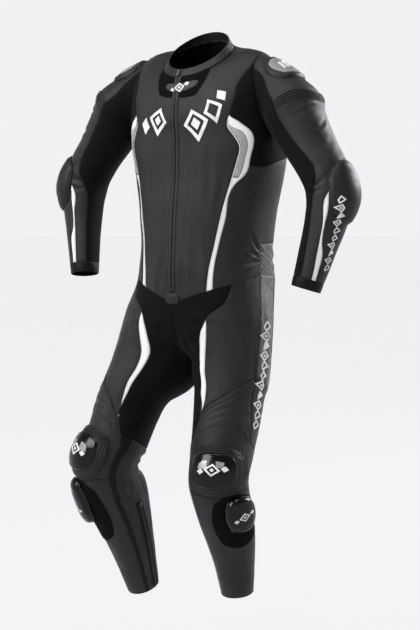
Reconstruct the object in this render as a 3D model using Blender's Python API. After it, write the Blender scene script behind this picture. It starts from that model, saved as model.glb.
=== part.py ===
"""Motorcycle race suit: a one-piece leather suit, empty and filled out, with its cut-and-sewn panels,
hard shoulder cups, elbow cups, knee cups, knee sliders and front zip. Metres, +Z up, the front faces -Y and
the wearer's left is +X. The origin is at the base of the neck, between the shoulders that carry the suit."""

import math
from typing import NamedTuple

import bmesh
import bpy
import numpy as np
from mathutils import Vector

LEATHER = 0.0020  # wall of a leather panel
STRETCH = 0.0014  # wall of a stretch fabric panel
SEAM_GAP = 0.0004  # between two panels at their seam
ZIP_HALF = 0.0065  # half the width of the front zip between its plackets
ZIP_FOOT = 9.56  # level at which the front panels begin to close below the zip
ZIP_CLOSE = 0.3  # levels over which they close
ZIP_WALL = 0.0016
ZIP_ROWS = 24
ZIP_TOP = 0.96  # height of the zip's upper end on the collar
SLIDER_HEIGHT = 0.62  # height on the collar at which the zip's slider stands
SLIDER_GAP = 0.0003
SLIDER_PLATE = 0.0024  # thickness of the slider's plate
LUG_RISE = 0.0024  # rise of the two lugs that hold the pull tab
HINGE_RISE = 0.0043  # of the pull tab's axis above the zip

COLLAR_RADIUS = 0.0675
COLLAR_Y = -0.032
COLLAR_HEIGHT = 0.020
COLLAR_SLOPE = 0.635  # rise of the rim towards the back
COLLAR_RUN_IN = 0.5  # part of the collar's height over which it turns upright
COLLAR_WALL = 0.0030

WELD = 2e-6  # grid points closer than this are one
SHARPEST = 0.35  # least cosine by which a corner's draw-in is lengthened
TIP_WIDTH = 0.004  # a stripe narrower than this, in turns, has closed to its tip
TURN_STEP = 0.004  # steps over which a surface's slopes are taken
LEVEL_STEP = 0.04
ARMHOLE_STEP = 0.22  # the same at the armhole: about the first row of the sleeve
CROSSING_PASSES = 8
FIRST_TURN = 0.2  # turn from which the search for a crossing starts
DOME_POWER = 0.6  # how fast a cup's dome rises from its edge
SHARP_ANGLE = 40  # degrees from which an edge is drawn sharp
ARM_SAMPLES = 8  # points of the armhole whose middle starts the sleeve's centre line
ROUNDING = 0.38  # of a cup's outline: 0 is square and 0.5 round
INNER_HOLD = 3.0  # how soon a leg's twist fades towards its inner line
CROTCH_LEVEL = 2.0
INNER_FRONT = -0.25  # turns of a leg's inner line, counted round its front and round its back
INNER_BACK = 0.75
FREE = 10.0  # turns past which no surface ends


class BodyRing(NamedTuple):
    """One level of the body tube, from the collar down."""

    height: float
    centre_y: float
    half_width: float
    front: float
    back: float
    square: float
    tilt: float  # rise of the ring towards the back
    lift: float  # rise of the ring at its sides


class LimbRing(NamedTuple):
    """One section of a sleeve or a leg, square to its centre line."""

    out: float  # distance of the centre from the middle plane
    y: float
    height: float
    across: float
    front: float
    back: float
    heading: float  # turn of its front outward, in degrees


BODY = (
    BodyRing(0.001, -0.032, 0.078, 0.077, 0.077, 2.0, 0.54, 0.004),
    BodyRing(-0.036, -0.020, 0.116, 0.099, 0.093, 2.0, 0.45, 0.049),
    BodyRing(-0.076, -0.006, 0.154, 0.117, 0.112, 2.1, 0.30, 0.079),
    BodyRing(-0.118, 0.003, 0.178, 0.127, 0.120, 2.3, 0.15, 0.078),
    BodyRing(-0.160, 0.009, 0.186, 0.129, 0.123, 2.4, 0.05, 0.040),
    BodyRing(-0.205, 0.013, 0.185, 0.133, 0.118, 2.4, 0.00, 0.010),
    BodyRing(-0.260, 0.016, 0.177, 0.137, 0.110, 2.3, 0.00, 0.000),
    BodyRing(-0.330, 0.016, 0.162, 0.145, 0.101, 2.3, 0.00, 0.000),
    BodyRing(-0.410, 0.014, 0.152, 0.148, 0.097, 2.3, 0.00, 0.000),
    BodyRing(-0.470, 0.009, 0.156, 0.146, 0.107, 2.3, 0.00, 0.000),
    BodyRing(-0.530, 0.003, 0.168, 0.136, 0.120, 2.3, 0.00, 0.000),
    BodyRing(-0.600, 0.000, 0.182, 0.120, 0.130, 2.3, 0.00, 0.000),
)

SLEEVE = (
    LimbRing(0.2295, -0.006, -0.1105, 0.0665, 0.075, 0.075, 0),
    LimbRing(0.252, -0.010, -0.147, 0.061, 0.067, 0.067, 0),
    LimbRing(0.288, -0.014, -0.200, 0.054, 0.058, 0.058, 0),
    LimbRing(0.322, -0.018, -0.250, 0.052, 0.055, 0.055, 0),
    LimbRing(0.337, -0.023, -0.297, 0.051, 0.054, 0.054, 0),
    LimbRing(0.333, -0.034, -0.350, 0.045, 0.047, 0.047, 0),
    LimbRing(0.319, -0.050, -0.420, 0.038, 0.039, 0.039, 0),
    LimbRing(0.304, -0.066, -0.492, 0.032, 0.033, 0.033, 0),
)

LEG_LEFT = (
    LimbRing(0.092, -0.035, -0.700, 0.083, 0.090, 0.096, 8),
    LimbRing(0.096, -0.050, -0.742, 0.078, 0.084, 0.090, 12),
    LimbRing(0.102, -0.068, -0.790, 0.075, 0.080, 0.084, 18),
    LimbRing(0.111, -0.102, -0.870, 0.069, 0.072, 0.076, 26),
    LimbRing(0.118, -0.123, -0.925, 0.066, 0.067, 0.080, 30),
    LimbRing(0.123, -0.112, -0.980, 0.062, 0.062, 0.088, 30),
    LimbRing(0.127, -0.094, -1.040, 0.057, 0.056, 0.078, 30),
    LimbRing(0.131, -0.080, -1.110, 0.046, 0.046, 0.058, 30),
    LimbRing(0.134, -0.072, -1.185, 0.036, 0.038, 0.041, 30),
)

LEG_RIGHT = (
    LimbRing(0.118, -0.070, -0.700, 0.083, 0.090, 0.096, 8),
    LimbRing(0.134, -0.087, -0.742, 0.073, 0.080, 0.086, 12),
    LimbRing(0.149, -0.107, -0.790, 0.070, 0.075, 0.080, 18),
    LimbRing(0.158, -0.137, -0.860, 0.068, 0.071, 0.074, 26),
    LimbRing(0.176, -0.158, -0.915, 0.066, 0.067, 0.080, 30),
    LimbRing(0.176, -0.140, -0.985, 0.061, 0.062, 0.090, 30),
    LimbRing(0.170, -0.108, -1.050, 0.055, 0.056, 0.077, 30),
    LimbRing(0.163, -0.070, -1.140, 0.045, 0.046, 0.055, 30),
    LimbRing(0.157, -0.040, -1.228, 0.035, 0.036, 0.039, 30),
)

ARMHOLE_TOP = 1.80  # level of the armhole's top on the shoulder ridge
ARMHOLE_FOOT = 4.75  # level of its foot under the arm
ARMHOLE_FRONT = 0.075  # reach of its front edge, in turns
ARMHOLE_BACK = 0.075
ARMHOLE_RUN_IN = 1.35  # how far outside the armhole the body steers the sleeve
SIDE = 0.25  # turn of the side line

HIP_FRONT = 10.1  # level of the hip seam at the middle of the front
HIP_SIDE = 9.1
HIP_BACK = 9.6
HIP_RUN_IN = 1.5  # levels above the hip seam from which the body steers the leg
HIP_JOINT_OUT = 0.088
HIP_JOINT_HEIGHT = -0.600
SEAT_FRONT = 0.022  # how far the crotch seam stands forward of a straight run
SEAT_BACK = 0.066
SEAT_DROP = 0.015
HIP_FULLNESS = 0.006
CROTCH = (0.0, -0.042, -0.688)


class Line(NamedTuple):
    """A seam or guide line of a tube's grid. A column's stations are (level, turn), a row's (turn, level)."""

    name: str
    index: int
    stations: tuple


class Panel(NamedTuple):
    """A cloth panel: the blocks of grid cells that it covers, each (first row, last row, first column, last
    column), less its holes, with raised ribs where it has them."""

    finish: str
    wall: float
    blocks: tuple
    holes: tuple = ()
    ribs: tuple = ()  # (height, first row, last row, ribs in each row of cells)


class Cup(NamedTuple):
    """A moulded piece that lies on the cloth: a rounded outline about a turn and level, and its heights."""

    finish: str
    turn: float
    level: float
    half_turn: float
    half_level: float
    lift: float  # of its underside from the cloth, or from the cup that it lies on
    edge: float  # thickness at its edge
    dome: float  # further rise at its middle
    flatness: float  # 2 for a round dome, more for a flat top
    cells: int
    under: str = ""  # the cup that it lies on


# The armhole's vertices lie at these turns from its top to its foot, on both of its sides.
ARMHOLE_STEPS = (0.0, 0.03, 0.06, 0.09, 0.125, 0.17, 0.21, 0.25, 0.30, 0.35, 0.40, 0.45, 0.5)
SLEEVE_SPREAD = 0.6  # level at which the sleeve's columns have left the armhole's spacing
LEG_SPREAD = 0.5
SIDE_LINE = ((0.0, 0.25), (4.75, 0.25), (5.0, 0.25), (6.6, 0.24), (8.0, 0.225), (10.4, 0.22))

BODY_COLUMNS = (
    Line("zip", 0, ((0.0, 0.0), (11.0, 0.0))),
    Line("insert", 2, ((0.0, 0.150), (0.5, 0.115), (1.0, 0.082), (1.3, 0.062), (3.5, 0.050), (11.0, 0.045))),
    Line("blade_inner", 5, ((0.0, 0.25), (1.80, 0.25), (2.05, 0.20), (2.16, 0.177), (2.32, 0.155),
                            (2.84, 0.133), (3.32, 0.118), (3.45, 0.114), (3.72, 0.107), (4.00, 0.107),
                            (4.40, 0.118), (4.84, 0.130), (5.40, 0.126), (5.96, 0.120), (7.40, 0.108),
                            (7.92, 0.1025), (8.48, 0.095), (9.52, 0.083), (11.0, 0.073))),
    Line("blade_outer", 6, ((0.0, 0.25), (1.80, 0.25), (2.05, 0.20), (2.16, 0.177), (2.32, 0.155),
                            (2.84, 0.133), (3.32, 0.118), (3.45, 0.114), (3.92, 0.133), (4.44, 0.160),
                            (5.28, 0.157), (5.90, 0.148), (6.14, 0.133), (7.28, 0.122), (7.92, 0.1135),
                            (8.48, 0.1065), (9.48, 0.0975), (11.0, 0.090))),
    Line("armhole_front", 9, SIDE_LINE),
    Line("armhole_back", 10, SIDE_LINE),
    Line("side_back", 12, ((0.0, 0.33), (3.3, 0.345), (4.75, 0.335), (5.5, 0.32), (8.0, 0.31), (11.0, 0.31))),
    Line("centre_back", 16, ((0.0, 0.5), (11.0, 0.5))),
)
BODY_ROWS = (
    Line("collar", 0, ((0.0, 0.0), (0.5, 0.0))),
    Line("insert_foot", 2, ((0.0, 1.05), (0.06, 1.30), (0.12, 1.35), (0.5, 1.20))),
    Line("armhole_top", 4, ((0.0, ARMHOLE_TOP), (0.5, ARMHOLE_TOP))),
    Line("armhole_foot", 16, ((0.0, ARMHOLE_FOOT), (0.5, ARMHOLE_FOOT))),
    Line("flank_top", 18, ((0.0, 5.5), (0.155, 5.56), (0.20, 5.60), (0.25, 5.45), (0.32, 5.35), (0.5, 5.5))),
    Line("rib_top", 22, ((0.0, 7.95), (0.5, 7.95))),
    Line("hip", 26, ((0.0, HIP_FRONT), (0.5, HIP_BACK))),
)

SLEEVE_COLUMNS = (
    Line("top", 0, ((0.0, 0.0), (8.0, 0.0))),
    Line("stripe_outer", 2, ((0.0, 0.06), (1.0, 0.09), (3.8, 0.11), (4.85, 0.168), (5.64, 0.163),
                             (6.68, 0.135), (6.85, 0.112), (7.4, 0.09), (8.0, 0.08))),
    Line("stripe_inner", 3, ((0.0, 0.09), (1.0, 0.15), (3.8, 0.16), (4.85, 0.168), (5.12, 0.195),
                             (6.2, 0.178), (6.96, 0.158), (7.44, 0.140), (8.0, 0.13))),
    Line("front_seam", 4, ((0.0, 0.125), (0.4, 0.205), (1.16, 0.262), (2.1, 0.262), (3.0, 0.245),
                           (3.5, 0.228), (4.1, 0.235), (4.64, 0.275), (5.4, 0.305), (6.64, 0.28), (8.0, 0.25))),
    Line("under", 12, ((0.0, 0.5), (8.0, 0.5))),
    Line("back_seam", 20, ((0.0, 0.875), (0.4, 0.795), (1.16, 0.74), (3.0, 0.755), (4.1, 0.765),
                           (4.64, 0.73), (5.4, 0.70), (8.0, 0.74))),
    Line("top_again", 24, ((0.0, 1.0), (8.0, 1.0))),
)
SLEEVE_ROWS = (
    Line("armhole", 0, ((0.0, 0.0), (1.0, 0.0))),
    Line("rib_top", 4, ((0.0, 1.27), (0.04, 1.24), (0.16, 1.0), (0.24, 0.92), (0.5, 0.9), (0.76, 0.92),
                        (0.84, 1.0), (0.96, 1.24), (1.0, 1.27))),
    Line("rib_foot", 8, ((0.0, 1.60), (0.14, 1.40), (0.245, 1.34), (0.5, 1.30), (0.755, 1.34),
                         (0.86, 1.40), (1.0, 1.60))),
    Line("elbow_top", 12, ((0.0, 3.80), (0.15, 4.2), (0.25, 4.5), (0.5, 4.5), (0.75, 4.5), (0.85, 4.2), (1.0, 3.80))),
    Line("elbow_foot", 16, ((0.0, 6.0), (0.16, 5.5), (0.5, 5.4), (0.84, 5.5), (1.0, 6.0))),
    Line("cuff", 20, ((0.0, 7.7), (1.0, 7.7))),
    Line("end", 21, ((0.0, 8.0), (1.0, 8.0))),
)

LEG_COLUMNS = (
    Line("inner_front", 0, ((0.0, -0.25), (10.0, -0.25))),
    Line("stripe_inner", 5, ((0.0, -0.09), (0.68, -0.068), (0.96, -0.085), (1.60, -0.083), (2.44, -0.077),
                             (3.24, -0.090), (4.28, -0.110), (4.6, -0.160), (5.0, -0.205), (5.6, -0.222),
                             (6.6, -0.224), (10.0, -0.224))),
    Line("stripe_outer", 6, ((0.0, -0.054), (0.68, -0.068), (0.96, -0.060), (1.60, -0.050), (2.44, -0.048),
                             (3.28, -0.056), (3.96, -0.080), (4.28, -0.110), (5.0, -0.06), (6.2, -0.07),
                             (8.0, -0.06), (10.0, -0.06))),
    Line("arm_end", 7, ((0.0, 0.02), (0.44, 0.0), (2.0, 0.0), (5.0, 0.0), (8.0, 0.0), (10.0, 0.0))),
    Line("side_front", 9, ((0.0, 0.19), (1.3, 0.19), (2.0, 0.19), (3.84, 0.17), (5.0, 0.19), (10.0, 0.19))),
    Line("side_back", 11, ((0.0, 0.37), (0.3, 0.355), (1.2, 0.32), (2.0, 0.32), (3.9, 0.295), (5.0, 0.31), (10.0, 0.33))),
    Line("inner_back", 15, ((0.0, 0.75), (10.0, 0.75))),
)
LEG_ROWS = (
    Line("hip", 0, ((-0.25, 0.0), (0.75, 0.0))),
    Line("arm_foot", 1, ((-0.25, 0.6), (-0.09, 0.72), (-0.065, 0.64), (0.0, 0.46), (0.03, 0.42), (0.2, 0.45), (0.75, 0.6))),
    Line("crotch", 3, ((-0.25, 2.0), (-0.07, 1.7), (0.1, 1.3), (0.2, 1.1), (0.3, 1.2), (0.5, 1.6), (0.75, 2.0))),
    Line("diagonal", 7, ((-0.25, 4.2), (-0.11, 4.28), (-0.07, 4.0), (0.03, 3.48), (0.105, 2.88), (0.155, 2.3),
                         (0.20, 2.1), (0.30, 2.4), (0.50, 3.3), (0.75, 4.2))),
    Line("knee_top", 9, ((-0.25, 4.8), (-0.15, 4.75), (0.0, 4.45), (0.2, 4.7), (0.5, 4.9), (0.75, 4.8))),
    Line("knee_foot", 13, ((-0.25, 6.2), (-0.15, 6.25), (0.0, 6.42), (0.2, 6.3), (0.5, 6.1), (0.75, 6.2))),
    Line("shin_foot", 18, ((-0.25, 9.2), (0.75, 9.2))),
    Line("hem", 19, ((-0.25, 10.0), (0.75, 10.0))),
)
SLEEVE_ROW_LEVELS = ((0, 4, 8, 12, 16, 20, 21), (0.0, 1.0, 1.4, 4.2, 5.5, 7.7, 8.0))
SLEEVE_TWIST = {
    "left": ((0.0, 0.0), (8.0, 0.0)),
    "right": ((0.0, 0.0), (3.0, 0.0), (4.0, 0.05), (5.0, 0.085), (6.0, 0.10), (8.0, 0.13)),
}
LEG_TWIST = {
    "left": ((0.0, 0.0), (10.0, 0.0)),
    "right": ((0.0, 0.0), (1.7, 0.0), (2.7, -0.033), (4.0, -0.053), (5.0, -0.02), (5.6, -0.03), (6.4, -0.08),
              (8.0, -0.06), (10.0, -0.04)),
}

BODY_PANELS = {
    "neck_insert": Panel("soft", STRETCH, ((0, 2, 0, 2),)),
    "front": Panel("leather", LEATHER, ((0, 2, 2, 5), (2, 26, 0, 5))),
    "chest_blade": Panel("white", LEATHER, ((4, 26, 5, 6),)),
    "underarm_stretch": Panel("stretch", STRETCH, ((4, 18, 6, 9), (9, 18, 10, 12))),
    "flank": Panel("leather", LEATHER, ((18, 26, 6, 9), (18, 22, 10, 12))),
    "hip_ribs": Panel("ribbed", STRETCH, ((22, 26, 10, 12),), ribs=(0.0015, 22, 26, 3)),
}
BACK_PANEL = Panel("leather", LEATHER, ((0, 9, 0, 12), (9, 26, 2, 10)))
SLEEVE_PANELS = {
    "shoulder": Panel("leather", LEATHER, ((0, 8, 0, 4), (0, 8, 20, 24)), ribs=(0.003, 4, 8, 1)),
    "upper_sleeve": Panel("leather", LEATHER, ((8, 12, 0, 4), (8, 12, 20, 24))),
    "inner_sleeve": Panel("stretch", STRETCH, ((0, 20, 4, 20),)),
    "forearm": Panel("leather", LEATHER, ((12, 20, 0, 4), (12, 20, 20, 24)), holes=((14, 20, 2, 3),)),
    "forearm_stripe": Panel("white", LEATHER, ((14, 20, 2, 3),)),
    "cuff": Panel("soft", LEATHER, ((20, 21, 0, 24),)),
}
LEG_PANELS = {
    "inner_leg_stretch": Panel("stretch", STRETCH, ((0, 9, 0, 5), (0, 1, 5, 7))),
    "thigh_stripe": Panel("white", LEATHER, ((1, 7, 5, 6),)),
    "thigh_front": Panel("leather", LEATHER, ((0, 1, 7, 9), (1, 7, 6, 9))),
    "thigh_side": Panel("leather", LEATHER, ((0, 7, 9, 11),)),
    "seat": Panel("leather", LEATHER, ((0, 9, 11, 15), (7, 9, 9, 11))),
    "knee": Panel("leather", LEATHER, ((7, 13, 5, 9), (9, 13, 9, 11)), ribs=(0.0012, 7, 9, 2)),
    "shin": Panel("leather", LEATHER, ((13, 19, 5, 11),)),
    "calf": Panel("soft", LEATHER, ((9, 19, 0, 5), (9, 19, 11, 15))),
}

SHOULDER_CUP = Cup("shell", 0.0, 0.48, 0.13, 0.28, 0.0010, 0.0020, 0.007, 2.0, 8)
ELBOW_CUP = Cup("shell", 0.0, 4.90, 0.17, 1.05, 0.0010, 0.0020, 0.013, 2.0, 8)
KNEE_CUP = Cup("shell", 0.01, 5.60, 0.19, 0.72, 0.0016, 0.0020, 0.010, 2.0, 8)
KNEE_INSERT = Cup("gloss", -0.01, 5.60, 0.11, 0.48, 0.0012, 0.0015, 0.002, 2.0, 6, under="knee_cup")
SLIDER_BASE = Cup("hook", 0.09, 7.34, 0.15, 0.97, 0.0012, 0.0014, 0.0, 4.0, 8)
KNEE_SLIDER = Cup("gloss", 0.112, 7.09, 0.092, 0.66, 0.0005, 0.0060, 0.012, 4.0, 8, under="slider_base")
LEG_CUPS = {"knee_cup": KNEE_CUP, "knee_insert": KNEE_INSERT, "slider_base": SLIDER_BASE, "knee_slider": KNEE_SLIDER}
LEG_CUP_MOVES = {  # (turn, level) by which each leg's cups stand off the places above
    "left": {"knee_cup": (0.0, 0.0), "knee_insert": (0.0, 0.0), "slider_base": (0.0, 0.0), "knee_slider": (0.0, 0.0)},
    "right": {"knee_cup": (0.0, 0.0), "knee_insert": (0.0, 0.0), "slider_base": (-0.095, 0.0),
              "knee_slider": (-0.082, -0.06)},
}
NECK_BADGE = Cup("rubber", 0.018, 0.58, 0.066, 0.25, 0.0007, 0.0015, 0.002, 2.0, 6)
ZIP_COVER = Cup("leather", 0.0, 9.92, 0.018, 0.20, 0.0005, 0.0015, 0.003, 2.0, 6)

FINISHES = {  # colour, roughness, metallic
    "leather": ((0.075, 0.075, 0.080), 0.55, 0.0),
    "white": ((0.80, 0.80, 0.80), 0.50, 0.0),
    "stretch": ((0.012, 0.012, 0.014), 0.90, 0.0),
    "ribbed": ((0.16, 0.16, 0.17), 0.80, 0.0),
    "soft": ((0.018, 0.018, 0.020), 0.85, 0.0),
    "shell": ((0.045, 0.045, 0.048), 0.45, 0.0),
    "gloss": ((0.010, 0.010, 0.011), 0.20, 0.0),
    "hook": ((0.010, 0.010, 0.010), 0.95, 0.0),
    "rubber": ((0.06, 0.06, 0.062), 0.60, 0.0),
    "metal": ((0.30, 0.30, 0.31), 0.35, 1.0),
}


def spline(rows, at):
    """Rows of a table at fractional row numbers, on a smooth curve through them."""
    rows = np.asarray(rows, float)
    at = np.clip(np.asarray(at, float), 0.0, len(rows) - 1.0)
    lower = np.minimum(at.astype(int), len(rows) - 2)
    t = (at - lower)[..., None]
    padded = np.concatenate([2 * rows[:1] - rows[1:2], rows, 2 * rows[-1:] - rows[-2:-1]])
    before, start, end, after = (padded[lower + k] for k in range(4))
    bend = 2 * before - 5 * start + 4 * end - after
    return start + 0.5 * t * (end - before + t * (bend + t * (3 * (start - end) + after - before)))


def body_point(turn, level):
    """Points of the body tube, with turn 0 at the middle of the front and 0.25 at the wearer's left."""
    turn, level = np.broadcast_arrays(np.asarray(turn, float), np.asarray(level, float))
    ring = BodyRing(*np.moveaxis(spline(BODY, level), -1, 0))
    sine = np.sin(2 * math.pi * turn)
    cosine = np.cos(2 * math.pi * turn)
    reach = (np.abs(sine) ** ring.square + np.abs(cosine) ** ring.square) ** (-1 / ring.square)
    x = ring.half_width * reach * sine
    y = ring.centre_y - np.where(cosine > 0, ring.front, ring.back) * reach * cosine
    z = ring.height + ring.tilt * (y - ring.centre_y) + ring.lift * sine**2
    return np.stack([x, y, z], -1)


def unit(vectors):
    return vectors / np.maximum(np.linalg.norm(vectors, axis=-1, keepdims=True), 1e-12)


def limb_ring(rings, row, turn, start):
    """Points of one limb section, with turn 0 at its front and 0.25 at its outer side. The limb starts at start."""
    centres = np.array([start] + [(ring.out, ring.y, ring.height) for ring in rings])
    run = np.gradient(centres, axis=0)[row + 1]
    ring = rings[row]
    heading = math.radians(ring.heading)
    outward = np.array([math.cos(heading), math.sin(heading), 0.0])
    side = unit(outward - run * np.dot(outward, run) / np.dot(run, run))
    front = unit(np.cross(side, run))
    front = front if front[1] < 0 else -front
    angle = np.asarray(turn, float)[..., None] * 2 * math.pi
    depth = np.where(np.cos(angle) > 0, ring.front, ring.back)
    return centres[row + 1] + side * ring.across * np.sin(angle) + front * depth * np.cos(angle)


def column_spline(rings, level):
    """The point at each level from 0 on a smooth curve through that point's place in every ring. The first ring
    lies before level 0 and only steers the curve."""
    level = np.clip(level, 0.0, len(rings) - 2.0)
    lower = np.minimum(level.astype(int), len(rings) - 3)
    t = (level - lower)[..., None]
    padded = np.concatenate([rings, 2 * rings[-1:] - rings[-2:-1]])
    before, start, end, after = (
        np.take_along_axis(padded, (lower + k)[None, ..., None], 0)[0] for k in range(4)
    )
    bend = 2 * before - 5 * start + 4 * end - after
    return start + 0.5 * t * (end - before + t * (bend + t * (3 * (start - end) + after - before)))


def armhole(turn, reach=1.0):
    """Points of the armhole edge on the body. Turn 0 is its top and 0.25 its front; reach widens it."""
    sine = np.sin(2 * math.pi * np.asarray(turn, float))
    cosine = np.cos(2 * math.pi * np.asarray(turn, float))
    around = SIDE - reach * np.where(sine > 0, ARMHOLE_FRONT, ARMHOLE_BACK) * sine
    middle = (ARMHOLE_TOP + ARMHOLE_FOOT) / 2
    level = middle - reach * (ARMHOLE_FOOT - ARMHOLE_TOP) / 2 * cosine
    return body_point(around, level)


def sleeve_point(turn, level):
    """Points of the left sleeve. Turn 0 is its outer side and 0.25 its front; level 0 is the armhole."""
    turn, level = np.broadcast_arrays(np.asarray(turn, float), np.asarray(level, float))
    start = armhole(np.arange(ARM_SAMPLES) / ARM_SAMPLES).mean(axis=0)
    rings = [armhole(turn, ARMHOLE_RUN_IN), armhole(turn)]
    rings += [limb_ring(SLEEVE, row, 0.25 - turn, start) for row in range(len(SLEEVE))]
    return column_spline(np.stack(rings), level)


def hip_level(turn):
    """Level of the hip seam on the body tube, lowest at the middle of the front."""
    turn = np.abs(np.asarray(turn, float))
    forward = np.clip(turn / SIDE, 0, 1)
    front = HIP_FRONT + (HIP_SIDE - HIP_FRONT) * np.sin(forward * math.pi / 2)
    rear = HIP_SIDE + (HIP_BACK - HIP_SIDE) * np.clip((turn - SIDE) / SIDE, 0, 1)
    return np.where(turn < SIDE, front, rear)


def leg_point(turn, level, rings):
    """Points of a leg on the +X side. Turn 0 is its front, 0.25 its outer side, and -0.25 and 0.75 the inner
    line, which is open above the crotch. Level 0 is the hip seam, 1 the seat and 2 the crotch."""
    turn, level = np.broadcast_arrays(np.asarray(turn, float), np.asarray(level, float))
    start = np.array([HIP_JOINT_OUT, 0.0, HIP_JOINT_HEIGHT])
    sections = [limb_ring(rings, row, turn, start) for row in range(len(rings))]
    innermost = limb_ring(rings, 0, INNER_FRONT, start)
    inward = ((1 - np.sin(2 * math.pi * turn)) / 2)[..., None] ** 3
    sections[0] = sections[0] + (np.array(CROTCH) - innermost) * inward
    above, top, seat = hip_rings(turn, sections[0], inward)
    opposite = hip_rings(0.5 - turn, sections[0], inward)[2]
    below = (level > CROTCH_LEVEL)[..., None]
    seat = np.where(below, seat + (opposite - seat) * inward / 2, seat)
    return column_spline(np.stack([above, top, seat] + sections), level)


def hip_rings(turn, section, inward):
    """The rings at and about the hip seam that lead to a leg's first section."""
    around = np.clip((turn + 0.25) / 2, 0.0, 0.5)
    seam = hip_level(around)
    above = body_point(around, seam - HIP_RUN_IN)
    top = body_point(around, seam)
    fore = np.where(turn < 0.25, -SEAT_FRONT, SEAT_BACK)
    fullness = np.stack([0 * turn, fore, 0 * turn - SEAT_DROP], -1) * inward
    fullness[..., 0] += HIP_FULLNESS * (1 + np.sin(2 * math.pi * turn)) / 2
    return above, top, (top + section) / 2 + fullness


def curve(stations, at):
    """Value at each position on a smooth curve through a table's stations."""
    place, value = np.array(stations, float).T
    slope = np.gradient(value, place)
    at = np.clip(at, place[0], place[-1])
    k = np.clip(np.searchsorted(place, at) - 1, 0, len(place) - 2)
    span = (place[1:] - place[:-1])[k]
    t = (at - place[k]) / span
    rise = value[k + 1] - value[k]
    return value[k] + t * t * (3 - 2 * t) * rise + span * t * (1 - t) * ((1 - t) * slope[k] - t * slope[k + 1])


def between(lines, values, index):
    """Value at a fractional grid index, where values holds the value of each line there."""
    places = np.array([line.index for line in lines], float)
    k = np.clip(np.searchsorted(places, index, side="right") - 1, 0, len(lines) - 2)
    part = (index - places[k]) / (places[k + 1] - places[k])
    low = np.take_along_axis(values, k[None], 0)[0]
    high = np.take_along_axis(values, k[None] + 1, 0)[0]
    return low + (high - low) * part


def close_tip(lines, first):
    """Brings a stripe's two edges together where they nearly meet."""
    middle = (lines[first] + lines[first + 1]) / 2
    closed = lines[first + 1] - lines[first] < TIP_WIDTH
    lines[first] = np.where(closed, middle, lines[first])
    lines[first + 1] = np.where(closed, middle, lines[first + 1])


def eased(t):
    t = np.clip(t, 0.0, 1.0)
    return t * t * (3 - 2 * t)


def body_turn(column, level):
    """Turn of the body's columns at a level. They give way to the armhole, whose edges are two of them."""
    lines = np.stack([curve(line.stations, level) for line in BODY_COLUMNS])
    middle, half = (ARMHOLE_TOP + ARMHOLE_FOOT) / 2, (ARMHOLE_FOOT - ARMHOLE_TOP) / 2
    bulge = np.sqrt(np.clip(1 - ((level - middle) / half) ** 2, 0, 1))
    ring = BodyRing(*np.moveaxis(spline(BODY, level), -1, 0))
    zip_end = np.clip((ZIP_FOOT - level) / ZIP_CLOSE + 1, 0, 1)
    lines[0] = zip_end * ZIP_HALF / (2 * math.pi * ring.half_width)
    lines[4] -= ARMHOLE_FRONT * bulge
    lines[5] += ARMHOLE_BACK * bulge
    lines[:4] = np.minimum(lines[:4], lines[4])
    lines[6:] = np.maximum(lines[6:], lines[5])
    close_tip(lines, 2)
    return between(BODY_COLUMNS, np.maximum.accumulate(lines, 0), column)


def body_level(row, turn):
    """Level of the body's rows at a turn."""
    lines = np.stack([curve(line.stations, turn) for line in BODY_ROWS])
    lines[-1] = hip_level(turn)
    level = between(BODY_ROWS, lines, row)
    top, foot = (BODY_ROWS[k].index for k in (2, 3))
    step = np.interp(row - top, np.arange(len(ARMHOLE_STEPS)), ARMHOLE_STEPS)
    middle, half = (ARMHOLE_TOP + ARMHOLE_FOOT) / 2, (ARMHOLE_FOOT - ARMHOLE_TOP) / 2
    return np.where((row >= top) & (row <= foot), middle - half * np.cos(2 * math.pi * step), level)


def body_place(row, column):
    return settled(body_turn, body_level, row, column)


def settled(turn_at, level_at, row, column, turn=FIRST_TURN):
    """Turn and level where a grid's row and column cross."""
    row, column = np.broadcast_arrays(np.asarray(row, float), np.asarray(column, float))
    turn = np.full(row.shape, turn)
    for _ in range(CROSSING_PASSES):
        level = level_at(row, turn)
        turn = turn_at(column, level)
    return turn, level


def sleeve_place(row, column, side):
    """Turn and level of a sleeve's grid points. Its columns leave the armhole at the body's own vertices."""
    steps = list(ARMHOLE_STEPS) + [1 - step for step in ARMHOLE_STEPS[-2::-1]]

    def turn_at(column, level):
        start = np.interp(column, np.arange(len(steps)), steps)
        lines = np.stack([curve(line.stations, level) for line in SLEEVE_COLUMNS])
        close_tip(lines, 1)
        spread = eased(level / SLEEVE_SPREAD)
        turn = start + (between(SLEEVE_COLUMNS, lines, column) - start) * spread
        return turn + curve(SLEEVE_TWIST[side], level)

    def level_at(row, turn):
        nominal = np.interp(row, SLEEVE_ROW_LEVELS[0], SLEEVE_ROW_LEVELS[1])
        around = np.mod(turn - curve(SLEEVE_TWIST[side], nominal), 1.0)
        lines = np.stack([curve(line.stations, around) for line in SLEEVE_ROWS])
        return between(SLEEVE_ROWS, lines, row)

    return settled(turn_at, level_at, row, column)


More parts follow.
